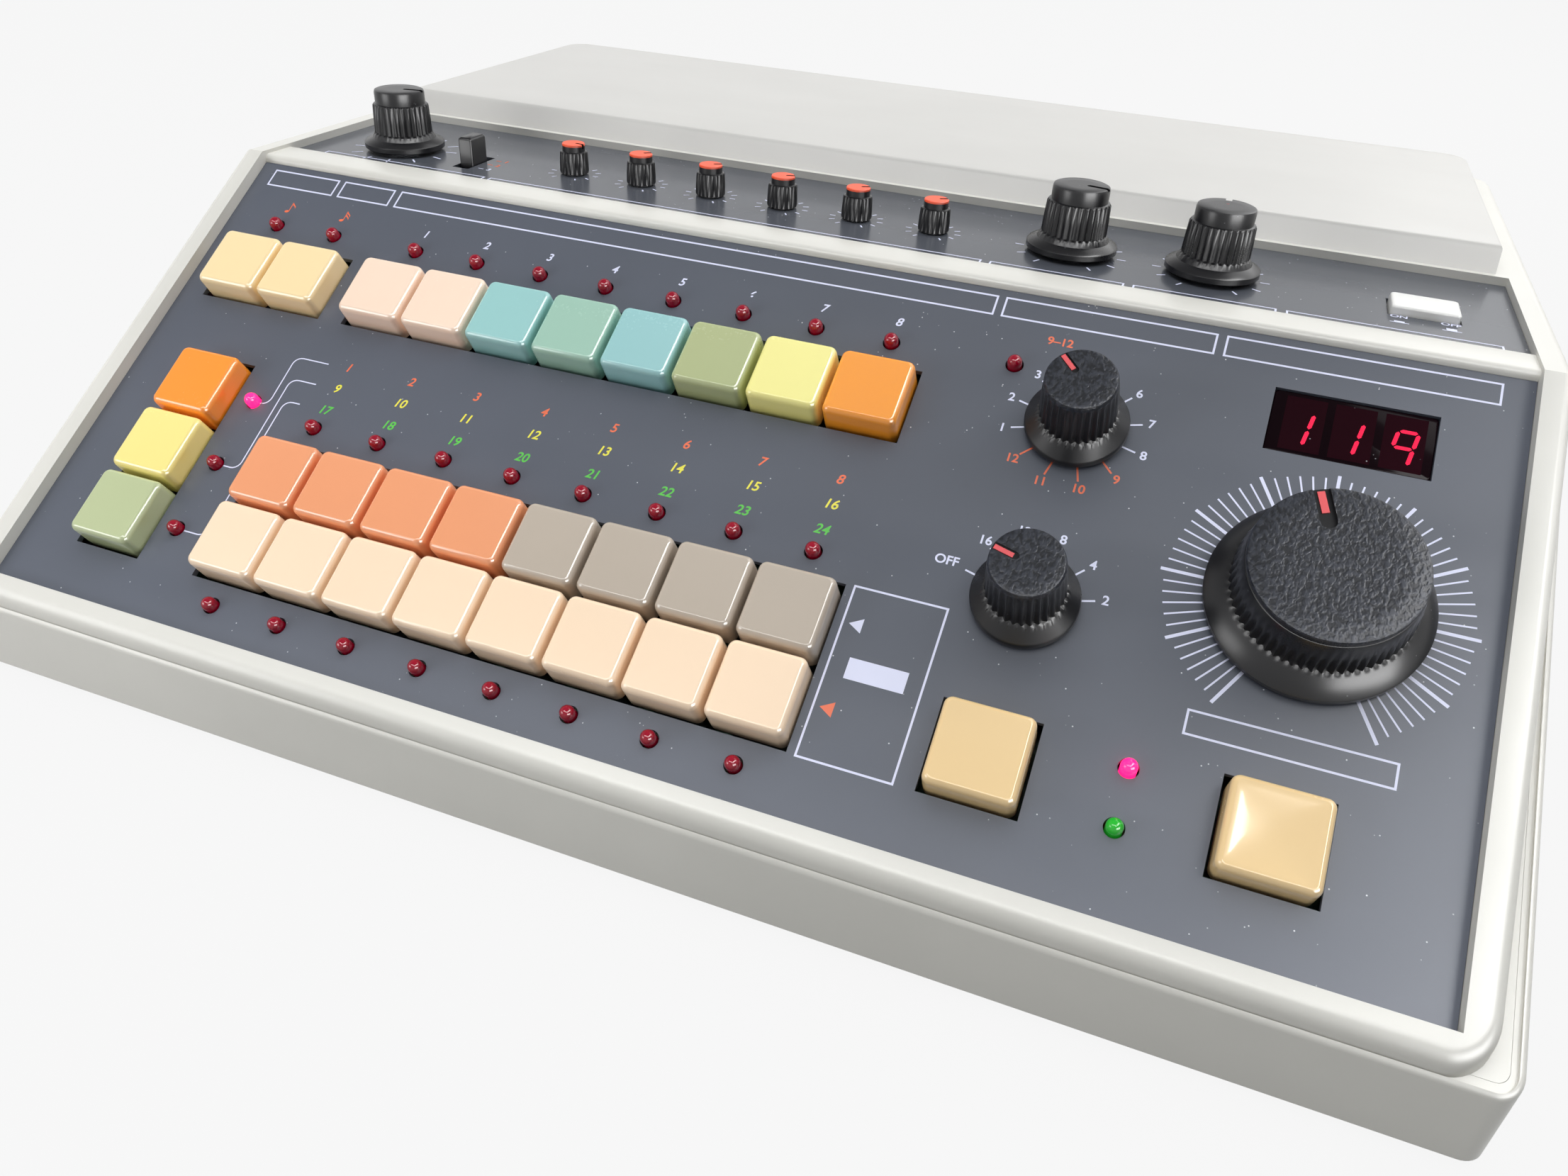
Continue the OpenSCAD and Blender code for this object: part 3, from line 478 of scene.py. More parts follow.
# %% [markdown]
# ## Boxes, side outlines and cuts
# The case has one side outline all along its width. So it is drawn as an outline of (y, z) points
# and extruded along X. Openings are cut by exact booleans, the way a mould's core leaves them,
# and the cutters are deleted afterwards. Bevel then rounds the chosen edges, with the settings
# that the editor would use.

# %% Boxes, side outlines and cuts
def box_bm(low, high, material=0):
    """A box from its low corner to its high one."""
    bm = bmesh.new()
    (x0, y0, z0), (x1, y1, z1) = low, high
    loft(bm, [[(x0, y0, z), (x1, y0, z), (x1, y1, z), (x0, y1, z)] for z in (z0, z1)], material)
    return bm


def side_bm(outline, half_w):
    """A side outline of (y, z) points, drawn out along X."""
    bm = bmesh.new()
    loft(bm, [[(x, y, z) for y, z in outline] for x in (-half_w, half_w)])
    bmesh.ops.recalc_face_normals(bm, faces=bm.faces)
    return bm


TINY = 1e-6


def carve(bm, cutters):
    """The bmesh with the cutters taken away, by exact booleans."""
    bmesh.ops.recalc_face_normals(bm, faces=bm.faces)
    body_mesh = bpy.data.meshes.new("carved")
    bm.to_mesh(body_mesh)
    bm.free()
    body = bpy.data.objects.new("carved", body_mesh)
    bpy.context.scene.collection.objects.link(body)
    tools = []
    for cutter in cutters:
        bmesh.ops.recalc_face_normals(cutter, faces=cutter.faces)
        mesh = bpy.data.meshes.new("cutter")
        cutter.to_mesh(mesh)
        cutter.free()
        tool = bpy.data.objects.new("cutter", mesh)
        bpy.context.scene.collection.objects.link(tool)
        modifier = body.modifiers.new("cut", "BOOLEAN")
        modifier.operation = "DIFFERENCE"
        modifier.solver = "EXACT"
        modifier.object = tool
        tools.append(tool)
    depsgraph = bpy.context.evaluated_depsgraph_get()
    result = bpy.data.meshes.new_from_object(body.evaluated_get(depsgraph))
    out = bmesh.new()
    out.from_mesh(result)
    for thing in [body, *tools]:
        mesh = thing.data
        bpy.data.objects.remove(thing)
        bpy.data.meshes.remove(mesh)
    bpy.data.meshes.remove(result)
    return out


def add_faces(bm, other):
    """Adds another bmesh's faces."""
    mesh = bpy.data.meshes.new("joined")
    other.to_mesh(mesh)
    other.free()
    bm.from_mesh(mesh)
    bpy.data.meshes.remove(mesh)


def round_edges(bm, chosen, radius, segments):
    """Bevels edges round."""
    bmesh.ops.bevel(bm, geom=chosen, offset=radius, segments=segments, profile=0.5,
                    affect="EDGES", material=-1, clamp_overlap=True)


def is_upright(edge):
    a, b = (v.co for v in edge.verts)
    return abs(a.x - b.x) < TINY and abs(a.y - b.y) < TINY

# %% [markdown]
# ## Sizes of the case
# The case is two shells that meet at a seam, which slopes at the front and runs level at the
# back. Here are the sizes that the looks need beyond what the solids tell: walls, roundings,
# ledges and rises. Where a solid gives a size, it is asked for it, so that it can't drift from
# the model.

# %% Sizes of the case
RAIL_RISE = 3.2 * MM
WALL = 2.6 * MM
CASE_CORNER = 5 * MM
BODY_CORNER = 9 * MM
BEZEL_ROUND = 2.6 * MM
LIP_ROUND = 1.3 * MM
LIP_WIDTH = 1.4 * MM
FRONT_LIP = 0.7 * MM
REBATE = 0.8 * MM
SHOULDER = 2.5 * MM
LEDGE = 3 * MM
PANEL_T = 1.5 * MM
LEDGE_T = 2 * MM
RIDGE_RISE = 1.2 * MM
LAMPS_UP = 61.8 * MM
KEY_LENGTH = 144.2 * MM
SEAM_FRONT = 21.3 * MM
SEAM_TILT = math.tan(math.radians(26.4))
HAIR = 0.06 * MM
base_low, base_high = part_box("case_base")
seam_knee = base_low.y + (base_high.z - SEAM_FRONT) / SEAM_TILT

# %% [markdown]
# ## Heights along the slope
# Two lines run up the front in the side view: the key panel's face, and the seam below it. Each
# gets a short function, so that every outline below is written with the same two, and a change of
# the slope reaches them all.

# %% Heights along the slope
def on_slope(along, off=0.0):
    """(y, z) of a place on the key panel: along from its front edge, and off its face."""
    place = KEYS @ Vector((0, along - LAMPS_UP, off))
    return place.y, place.z


def seam(y, drop=0.0):
    """The height of the seam between the shells."""
    return min(base_high.z, SEAM_FRONT + (y - base_low.y) * SEAM_TILT) - drop

# %% [markdown]
# ## A rounded block from a side outline
# Both shells are such blocks: upright corners with a wide radius, and upper edges with a small
# one. The upright corners are picked first and bevelled, and then the rim: the edges where an
# upward face meets one that isn't.

# %% A rounded block from a side outline
CORNER_STEPS = 10
FLAT, UPWARD = 1e-3, 0.3


def rounded_outline(outline, half_w, corner, top_round, segments):
    """A side outline drawn out along X, with rounded upright corners and upper edges."""
    bm = side_bm(outline, half_w)
    ends = {min(p[0] for p in outline), max(p[0] for p in outline)}
    corners = [e for e in bm.edges
               if is_upright(e) and min(abs(e.verts[0].co.y - y) for y in ends) < TINY]
    round_edges(bm, corners, corner, CORNER_STEPS)
    rim = []
    for edge in bm.edges:
        upward = [abs(f.normal.x) < FLAT and f.normal.z > UPWARD for f in edge.link_faces]
        if len(upward) == 2 and upward[0] != upward[1]:
            rim.append(edge)
    if top_round:
        round_edges(bm, rim, top_round, segments)
    return bm

# %% [markdown]
# ## Upper shell: the outer block
# The real upper shell is one moulding: bezel, side rails, ridge and deck. Its body is narrower
# than the lower shell, so that a ledge shows at the sides. One could model its top face by face,
# but one side outline fixes all its slopes at once. The bezel runs along the key panel, a rail's
# height above it, and meets the deck at a knee.

# %% Upper shell: the outer block
FRONT_PLAY = 0.2 * MM
upper_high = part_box("case_top")[1]
back, top = upper_high.y, upper_high.z
front = base_low.y + FRONT_LIP + FRONT_PLAY
half = upper_high.x - SHOULDER
drop = REBATE - HAIR
steep = math.tan(slope)


def bezel(y):
    """The height of the bezel's sloping face."""
    start = on_slope(0, RAIL_RISE)
    return start[1] + (y - start[0]) * steep


knee = front + (top - bezel(front)) / steep
upper_body = rounded_outline(
    [(front, seam(front, drop)), (front, bezel(front)), (knee, top), (back, top),
     (back, base_high.z - drop), (seam_knee, base_high.z - drop)],
    half, BODY_CORNER, BEZEL_ROUND, 6)
print(f"upper shell {2 * half / MM:.1f} mm wide, front {bezel(front) / MM:.1f} mm high")

# %% [markdown]
# ## Upper shell: the skirt
# Where two mouldings meet, one has a skirt that drops inside the other and hides the gap. A
# second, lower ring does that here. It is hollowed by a plain box, well clear of the stems of the
# front buttons.

# %% Upper shell: the skirt
TONGUE = 8 * MM
BELOW, ABOVE = -0.1, 0.3
skirt_front = base_low.y + WALL + HAIR
inner_front = skirt_front + WALL
skirt = rounded_outline(
    [(skirt_front, seam(skirt_front, TONGUE)), (skirt_front, seam(skirt_front, REBATE)),
     (seam_knee, base_high.z - REBATE), (back, base_high.z - REBATE), (back, base_high.z - TONGUE),
     (seam_knee, base_high.z - TONGUE)], base_high.x - WALL - HAIR, CASE_CORNER - WALL, 0, 0)
skirt = carve(skirt, [box_bm((WALL - half, inner_front, BELOW), (half - WALL, back - WALL, ABOVE))])
print("skirt", TONGUE / MM, "mm deep")

# %% [markdown]
# ## Upper shell: the hollow
# Mouldings are thin. A solid block would look the same from outside, but the caps and knobs reach
# into it, and light falls through the gaps around them. So the block is hollowed from below,
# along the slope, under the level panel and up into the deck.

# %% Upper shell: the hollow
under = PANEL_T + LEDGE_T
hollow_z = panel_high.z - under
start = on_slope(0, -under)
hollow_knee = start[0] + (hollow_z - start[1]) / steep
hollow = side_bm(
    [(inner_front, BELOW), (inner_front, start[1] + (inner_front - start[0]) * steep),
     (hollow_knee, hollow_z), (up_back + LEDGE, hollow_z), (up_back + LEDGE, top - WALL),
     (back - WALL, top - WALL), (back - WALL, BELOW)], half - WALL)
print(f"hollow reaches {(top - WALL) / MM:.1f} mm up")

# %% [markdown]
# ## Upper shell: the recess for the panels
# Both panels lie in one recess, parted by a rounded ridge. Its outline follows the panels'
# undersides, and arcs of a few points make the ridge. It reaches far above the shell, so that it
# cuts all the way through.

# %% Upper shell: the recess for the panels
RIDGE_ROUND = 1.6 * MM
RIDGE_EDGE = 0.5 * MM


def arc_points(centre, radius, start, end, steps):
    """Points along an arc from start to end, in degrees."""
    turns = [math.radians(start + (end - start) * i / steps) for i in range(steps + 1)]
    return [(centre[0] + radius * math.cos(a), centre[1] + radius * math.sin(a)) for a in turns]


key_back = on_slope(KEY_LENGTH)
ridge = panel_high.z + RIDGE_RISE
recess = side_bm(
    [on_slope(0, -PANEL_T), on_slope(KEY_LENGTH, -PANEL_T), key_back,
     *arc_points((key_back[0] + RIDGE_ROUND, ridge - RIDGE_ROUND), RIDGE_ROUND, 180, 90, 5),
     *arc_points((up_front - RIDGE_EDGE, ridge - RIDGE_EDGE), RIDGE_EDGE, 90, 0, 3),
     (up_front, panel_high.z - PANEL_T), (up_back, panel_high.z - PANEL_T), (up_back, ABOVE),
     on_slope(0, 0.2), on_slope(0)], PANEL_HALF)
print(f"ridge {(up_front - key_back[0]) / MM:.1f} mm wide")

# %% [markdown]
# ## Upper shell: openings, and the whole
# Under each panel the shell is open, but for a ledge that carries the panel. One box cuts each
# opening, laid out on its panel's own frame. Then all cutters work in one go, which keeps the
# edges clean, and the skirt is added.

# %% Upper shell: openings, and the whole
PAST = 1 * MM
key_opening = box_bm((LEDGE - PANEL_HALF, LEDGE - LAMPS_UP, -under - PAST),
                     (PANEL_HALF - LEDGE, KEY_LENGTH - LEDGE - LAMPS_UP, PAST))
key_opening.transform(KEYS)
knob_opening = box_bm((LEDGE - PANEL_HALF, LEDGE, -under - PAST),
                      (PANEL_HALF - LEDGE, up_back - up_front - LEDGE, PAST))
knob_opening.transform(KNOBS)
upper_body = carve(upper_body, [hollow, recess, key_opening, knob_opening])
add_faces(upper_body, skirt)
piece("upper_shell", upper_body, [SHELL], "case", ["case_top"], crease=32)

# %% [markdown]
# ## Lower shell: the tray
# The lower shell is a tray with a soft lip. The wall keeps one thickness all round, as moulding
# asks, because thick places sink as they cool. Behind the lip a rebate takes the upper shell: the
# same outline, a lip's width further in, cuts it.

# %% Lower shell: the tray
base_outline = [(base_low.y, base_low.z), (base_low.y, SEAM_FRONT), (seam_knee, base_high.z),
                (base_high.y, base_high.z), (base_high.y, base_low.z)]
tray = rounded_outline(base_outline, base_high.x, CASE_CORNER, LIP_ROUND, 5)
centre = (0, (base_low.y + base_high.y) / 2)
inner_l = (base_high.y - base_low.y) / 2 - WALL
inside = bmesh.new()
loft(inside, [square_ring(base_high.x - WALL, inner_l, CASE_CORNER - WALL, z, centre)
              for z in (base_low.z + WALL, 0.2)])
lip_front, lip_back = base_low.y + FRONT_LIP, base_high.y - LIP_WIDTH
rebate = rounded_outline(
    [(lip_front, seam(lip_front, REBATE)), (seam_knee, base_high.z - REBATE),
     (lip_back, base_high.z - REBATE), (lip_back, 0.2), (lip_front, 0.2)],
    base_high.x - LIP_WIDTH, CASE_CORNER - LIP_WIDTH, 0, 0)
print(f"tray {2 * base_high.x / MM:.1f} mm wide, lip at {SEAM_FRONT / MM:.1f} mm in front")

# %% [markdown]
# ## Lower shell: the socket bay
# At the rear the sockets sit in a shallow bay. If only the bay were cut, it would break through
# the thin wall. So the tray's inside first gives way to a block around the bay, and the bay is
# cut into that.

# %% Lower shell: the socket bay
BAY_HALF = 84 * MM
BAY_LOW, BAY_HIGH = 27.8 * MM, 49.8 * MM
BAY_DEPTH = 3 * MM
bay_y = base_high.y - BAY_DEPTH
bay_block = box_bm((-BAY_HALF - WALL, bay_y - WALL, BELOW), (BAY_HALF + WALL, 1, BAY_HIGH + WALL))
inside = carve(inside, [bay_block])
bay = box_bm((-BAY_HALF, bay_y, BAY_LOW), (BAY_HALF, base_high.y + PAST, BAY_HIGH))
tray = carve(tray, [inside, bay, rebate])
piece("lower_shell", tray, [SHELL], "case", ["case_base"], crease=32)

# %% [markdown]
# ## Lid plate
# A painted plate lies on the deck, with a sloping front edge and two large rear corners. Its side
# outline is drawn out along the width. Then the two rear corners are bevelled, and last all edges
# around its top, in that order, so that the small rounding follows the large ones.

# %% Lid plate
LID_SLANT = 3.5 * MM
LID_CORNER = 8 * MM
LID_ROUND = 1.2 * MM
lid_low, lid_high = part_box("lid_plate")
lid = side_bm([(lid_low.y, lid_low.z), (lid_low.y + LID_SLANT, lid_high.z),
               (lid_high.y, lid_high.z), (lid_high.y, lid_low.z)], lid_high.x)
rear = [e for e in lid.edges if is_upright(e) and abs(e.verts[0].co.y - lid_high.y) < TINY]
round_edges(lid, rear, LID_CORNER, 8)
rim = [e for e in lid.edges if min(v.co.z for v in e.verts) > lid_high.z - TINY]
round_edges(lid, rim, LID_ROUND, 4)
piece("lid", lid, [LID], "case", ["lid_plate"], crease=32)

# %% [markdown]
# ## Caps: the colours
# The caps fade in colour from row to row. A table of names and codes keeps the fifteen colours in
# one place. A finish is only made when a cap first asks for it, so that caps of one colour share
# one material.

# %% Caps: the colours
CAP_COLOURS = {
    "pale": "#fbe0ac", "peach": "#fbdfc8", "teal": "#98cbc9", "green": "#9fc7b4",
    "blue": "#98cacb", "olive": "#b2bb88", "yellow": "#f8f096", "orange": "#ff9f2c",
    "amber": "#ff9629", "straw": "#fae68c", "sage": "#b8c296", "salmon": "#f09f70",
    "taupe": "#bcafa0", "cream": "#fbdfc0", "tan": "#f3d29a"}
cap_finish = {}


def cap_material(shade):
    if shade not in cap_finish:
        cap_finish[shade] = moulded("cap_" + shade, CAP_COLOURS[shade], 0.24, 0.02, 0.8 * MM, 0.015,
                                    coat=0.6)
    return cap_finish[shade]

# %% [markdown]
# ## Caps: the edge
# The caps are glossy squares. In the photograph a thin bright line runs along two sides of each
# top, which one even bevel can't give. So the edge is two arcs: it turns quickly beside the flat
# top, which makes the line, and then widely towards the side.

# %% Caps: the edge
TIGHT, WIDE = 0.6 * MM, 1.9 * MM
TIGHT_TURN = 28


def cap_edge():
    """(inset, drop) along a cap's upper edge, from the flat top to the side."""
    points = [(0.0, 0.0)]
    for radius, start, end, steps in ((TIGHT, 0, TIGHT_TURN, 4), (WIDE, TIGHT_TURN, 90, 6)):
        x, z = points[-1]
        a = math.radians(start)
        for i in range(1, steps + 1):
            b = math.radians(start + (end - start) * i / steps)
            points.append((x + radius * (math.sin(b) - math.sin(a)),
                           z + radius * (math.cos(a) - math.cos(b))))
    outside = points[-1][0]
    return [(outside - x, z) for x, z in points]


print(f"cap edge {cap_edge()[0][0] / MM:.2f} mm wide")

# %% [markdown]
# ## Caps: a whole cap
# A cap is a rounded square, drawn out through the rings of its edge, with a round stem below that
# goes down to its switch. The start cap has a shallow dish in its top. There the rings turn from
# rounded squares into near circles as they shrink, as the dish of the real cap does.

# %% Caps: a whole cap
CAP_RISE, CAP_BELOW = 6 * MM, 3 * MM
CAP_WIDTH = 18.9 * MM
CAP_CORNER, LEAST_CORNER = 2 * MM, 0.9 * MM
CAP_LEAN = 0.15 * MM
STEM_ROUND, STEM_END = 2.5 * MM, 16 * MM
DISH_SHARES = (0.88, 0.76, 0.62, 0.48, 0.32, 0.16, 0.06)


def cap(node, place, shade, width=CAP_WIDTH, dish=0.0):
    """A square key cap with rounded edges, a flat or dished top and its stem."""
    half = width / 2
    rings = [square_ring(half, half, CAP_CORNER, -CAP_BELOW, steps=8)]
    for inset, drop in reversed(cap_edge()):
        inward = inset + CAP_LEAN
        rings.append(square_ring(half - inward, half - inward,
                                 max(CAP_CORNER - inward * 0.7, LEAST_CORNER), CAP_RISE - drop,
                                 steps=8))
    flat = half - cap_edge()[0][0] - CAP_LEAN
    for share in DISH_SHARES if dish else ():
        reach = flat * share
        corner = max(LEAST_CORNER * share, reach * min(0.9, 2 * (1 - share)))
        height = CAP_RISE - dish * (1 - share * share)
        rings.append(square_ring(reach, reach, corner, height, steps=8))
    bm = bmesh.new()
    loft(bm, rings)
    loft(bm, [circle_ring(STEM_ROUND, z, 24) for z in (-STEM_END, -CAP_BELOW)])
    at = KEYS @ Matrix.Translation((*cell(*place), 0))
    piece(node.replace("button", "cap"), bm, [cap_material(shade)], node, [node], at)

# %% [markdown]
# ## All the buttons
# Thirty-one buttons differ only in place, colour and width. So short tables and loops make them,
# and each rides on its own button's body, to be pressed on its own. The two rows of rhythm
# buttons touch, as they do in the photograph.

# %% All the buttons
REGISTER = [(-2.38, 2.16), (-1.38, 2.16)]
BANK = [(-1.88, 0.17), (-1.88, -0.83), (-1.88, -1.83)]
ARRANGER = ["peach", "peach", "teal", "green", "blue", "olive", "yellow", "orange"]
ARRANGER_ROW, UPPER_ROW, LOWER_ROW = 2.16, -0.83, -1.83
WIDE_CAP = 20 * MM

for i, place in enumerate(REGISTER, 1):
    cap(f"button_register_{i}", place, "pale")
for i, shade in enumerate(ARRANGER):
    cap(f"button_arranger_{i + 1}", (i, ARRANGER_ROW), shade)
for i, (place, shade) in enumerate(zip(BANK, ("amber", "straw", "sage")), 1):
    cap(f"button_bank_{i}", place, shade)
for i in range(8):
    cap(f"button_rhythm_{i + 1}", (i, UPPER_ROW), "salmon" if i < 4 else "taupe")
    cap(f"button_rhythm_{i + 9}", (i, LOWER_ROW), "cream")
cap("button_manual", (9.47, LOWER_ROW), "tan", WIDE_CAP)
cap("button_start", (12.37, LOWER_ROW), "tan", WIDE_CAP, dish=0.9 * MM)
print(len(cap_finish), "cap colours")

# %% [markdown]
# ## Places around a knob
# Ticks, numbers and notches lie on circles around a shaft. One helper gives a point at an angle,
# another the frame of a knob that is turned as in the photograph, and a third the slot for its
# pointer.

# %% Places around a knob
def polar(radius, degrees, centre=(0, 0)):
    """A point at a radius and an angle from +x."""
    a = math.radians(degrees)
    return centre[0] + radius * math.cos(a), centre[1] + radius * math.sin(a)


def turned(at, x, y, turn=0):
    """The frame of a knob that stands at (x, y) on a panel and is turned by some degrees."""
    return at @ Matrix.Translation((x, y, 0)) @ Matrix.Rotation(math.radians(turn), 4, "Z")


def slot_cutter(half_w, start, end, z):
    """A slot with one round end, from start to end along +Y."""
    ring = [(half_w, end), *[(half_w * math.cos(a), start + half_w * math.sin(a))
                             for a in [-math.pi * i / 8 for i in range(9)]], (-half_w, end)]
    bm = bmesh.new()
    loft(bm, [[(x, y, h) for x, y in ring] for h in (z, z + 5 * MM)])
    return bm

# %% [markdown]
# ## Knobs
# A knob is a stack of rings: skirt, fluted grip, groove and grained top. Each ring gives a
# radius, a height, the depth of its flutes and its finish. The slot for the pointer is cut out
# afterwards, so that its walls are true ones, and the pointer is a low bar on its floor.

# %% Knobs
POINTER_BELOW, POINTER_ABOVE = 0.1 * MM, 0.25 * MM


def knob(node, place, rings, reach, height, slot, pointer, flutes=30, steps=240):
    """A knob; slot is a half width, start and depth, and pointer a half width, start and end."""
    slot_half, slot_start, slot_depth = slot
    line_half, line_start, line_end = pointer
    bm = bmesh.new()
    draw_out(bm, [circle_ring(r, z, steps, flutes, depth) for r, z, depth, _ in rings],
             [band for *_, band in rings])
    floor_z = height - slot_depth
    bm = carve(bm, [slot_cutter(slot_half, slot_start, reach * 1.3, floor_z)])
    add_faces(bm, box_bm((-line_half, line_start, floor_z - POINTER_BELOW),
                         (line_half, line_end, floor_z + POINTER_ABOVE), 2))
    piece(node + "_look", bm, [BLACK, LEATHER, POINTER], node, [node], place, crease=35)

# %% [markdown]
# ## Profiles of the knobs
# There are three kinds: the wide tempo dial, the two selectors on the slope, and the three knobs
# at the rear. Their profiles are written as (radius, height, flute depth) in millimetres, from
# the panel up, as they would be on a turner's drawing. The finish changes from black to grained
# at the ring with the given number.

# %% Profiles of the knobs
DIAL_MM = [
    (22.6, 1.0, 0), (23, 1.3, 0), (23, 2.5, 0), (22.7, 2.9, 0), (19.4, 6.0, 0), (18.7, 6.3, 0),
    (18.6, 6.5, 0.7), (18.5, 9.5, 0.7), (18.3, 11.6, 0.55), (18.0, 13.0, 0), (17.4, 16.4, 0),
    (17.2, 16.9, 0), (16.9, 17.0, 0), (16.9, 17.3, 0), (17.2, 17.5, 0), (17.2, 18.4, 0),
    (17.0, 18.8, 0), (16.5, 19.0, 0), (12, 19.0, 0), (6, 19.0, 0), (0.5, 19.0, 0)]
SELECTOR_MM = [
    (11.7, 1.0, 0), (12, 1.3, 0), (12, 2.4, 0), (11.7, 2.9, 0), (9.8, 4.6, 0), (9.2, 5.6, 0),
    (8.8, 6.0, 0.6), (8.7, 9, 0.6), (8.5, 14, 0.55), (8.3, 16.8, 0.5), (8.2, 17.7, 0.1),
    (8.1, 18.4, 0), (7.8, 18.85, 0), (7.3, 19, 0), (5, 19, 0), (2.5, 19, 0), (0.4, 19, 0)]
REAR_MM = [
    (11.7, 1.0, 0), (12.1, 1.3, 0), (12.1, 2.6, 0), (11.8, 3.0, 0), (9.6, 4.0, 0), (9.0, 5.2, 0),
    (8.7, 5.6, 0.6), (8.6, 9, 0.6), (8.4, 13.4, 0.5), (8.0, 13.9, 0), (7.5, 14.1, 0),
    (7.5, 17.2, 0), (7.3, 17.8, 0), (6.8, 18, 0), (4, 18, 0), (0.4, 18, 0)]


def in_metres(profile, grained_from):
    return [(r * MM, z * MM, d * MM, int(k >= grained_from)) for k, (r, z, d) in enumerate(profile)]


for name, profile in (("dial", DIAL_MM), ("selector", SELECTOR_MM), ("rear knob", REAR_MM)):
    print(name, max(2 * r for r, *_ in profile), "mm across,", profile[-1][1], "mm high")

# %% [markdown]
# ## The six large knobs
# Each knob stands where its joint is, so it turns about its own shaft. Its angle is the one in
# the photograph, in degrees from straight up.

# %% The six large knobs
knob("dial_tempo", turned(KEYS, *cell(*DIAL), 20), in_metres(DIAL_MM, 15), 17.2 * MM, 19 * MM,
     slot=(1.7 * MM, 9.4 * MM, 0.9 * MM), pointer=(0.75 * MM, 11.6 * MM, 16.6 * MM), flutes=60,
     steps=360)
for node, place, turn in (("knob_intro", INTRO, 45), ("knob_measures", MEASURES, 75)):
    knob(node, turned(KEYS, *cell(*place), turn), in_metres(SELECTOR_MM, 10), 8.2 * MM, 19 * MM,
         slot=(0.9 * MM, 2.8 * MM, 0.6 * MM), pointer=(0.55 * MM, 3.2 * MM, 7.7 * MM))
for node, turn in (("knob_mode", -75), ("knob_accent", -100), ("knob_volume", 0)):
    knob(node, turned(KNOBS, *spot(node + "_turn"), turn), in_metres(REAR_MM, len(REAR_MM)),
         7.5 * MM, 18 * MM, slot=(0.8 * MM, 2.2 * MM, 0.6 * MM),
         pointer=(0.4 * MM, 3 * MM, 3.1 * MM))

# %% [markdown]
# ## Six small knobs
# The level knobs are narrow, ribbed and topped with an orange cap that has a notch. The same
# extrusion makes them, with the orange finish from the cap's first ring on. One table holds how
# far each is turned in the photograph.

# %% Six small knobs
VOICE_MM = [(4.2, 0.5, 0), (4.35, 0.8, 0.35), (4.3, 3, 0.35), (4.15, 6.2, 0.35), (3.9, 6.6, 0),
            (3.4, 6.8, 0), (3.4, 8.3, 0), (3.4, 8.35, 0), (3.4, 8.8, 0), (3.2, 9, 0), (1.5, 9, 0),
            (0.3, 9, 0)]
VOICE_TURNS = (-95, -50, -60, -70, -60, -60)


def voice_knob(node, turn):
    """A small ribbed knob with an orange cap."""
    rings = in_metres(VOICE_MM, 7)
    bm = bmesh.new()
    draw_out(bm, [circle_ring(r, z, 120, 20, depth) for r, z, depth, _ in rings],
             [band for *_, band in rings])
    bm = carve(bm, [slot_cutter(0.45 * MM, 1.2 * MM, 6 * MM, 7.6 * MM)])
    place = turned(KNOBS, *spot(node + "_turn"), turn)
    piece(node + "_look", bm, [BLACK, KNOB_ORANGE], node, [node], place, crease=35)


for i, turn in enumerate(VOICE_TURNS, 1):
    voice_knob(f"knob_voice_{i}", turn)

# %% [markdown]
# ## Lamps
# Each lamp is a dome, 3.6 mm across, that stands out of its hole by its own radius and a bit, on
# a short barrel. It is drawn out through circles that shrink as a quarter circle does. The 29
# unlit lamps share one mesh, because they never move on their own, and the three lit ones
# another.

# %% Lamps
LAMP_CELLS = [(i, y) for y in (3.02, 0, -2.66) for i in range(8)]
LAMP_CELLS += [(-2.39, 3.02), (-1.39, 3.02), (8.55, 3.04), (-1.08, -0.83), (-1.08, -1.83)]
LIT_CELLS = [(-1.08, 0.17), (10.93, -1.51)]
GREEN_CELL = (10.93, -2.15)
LAMP_ROUND = 1.8 * MM
LAMP_BELOW, LAMP_MIDDLE = 6 * MM, 1.2 * MM


def lamp(bm, place, material=0):
    """A domed lamp that stands out of its hole."""
    centre = cell(*place)
    rings = [circle_ring(LAMP_ROUND, z, 28, centre=centre) for z in (-LAMP_BELOW, LAMP_MIDDLE)]
    for i in range(1, 9):
        a = math.pi / 2 * i / 8.4
        height = LAMP_MIDDLE + LAMP_ROUND * math.sin(a)
        rings.append(circle_ring(LAMP_ROUND * math.cos(a), height, 28, centre=centre))
    loft(bm, rings, material)


bm = bmesh.new()
for place in LAMP_CELLS:
    lamp(bm, place)
piece("lamp_domes", bm, [LAMP_RED_PAINTED_GLOW], "case", ["lamps"], KEYS)
bm = bmesh.new()
for place in LIT_CELLS:
    lamp(bm, place)
lamp(bm, GREEN_CELL, 1)
piece("lamp_domes_lit", bm, [LAMP_LIT, LAMP_GREEN], "case", ["lamps_lit"], KEYS)
print(len(LAMP_CELLS), "lamps unlit and", len(LIT_CELLS) + 1, "lit")

# %% [markdown]
# ## Display: the digits
# A seven-segment digit is seven bars, named a to g, and a figure is the list of those that are
# lit. Each bar is a flat shape with six corners, slanted as it is laid down. Only the two figures
# that show are listed.

# %% Display: the digits
LIT_SEGMENTS = {"1": "bc", "9": "abcfg"}
DIGIT_HEIGHT = 8.8 * MM
SLANT = 0.17


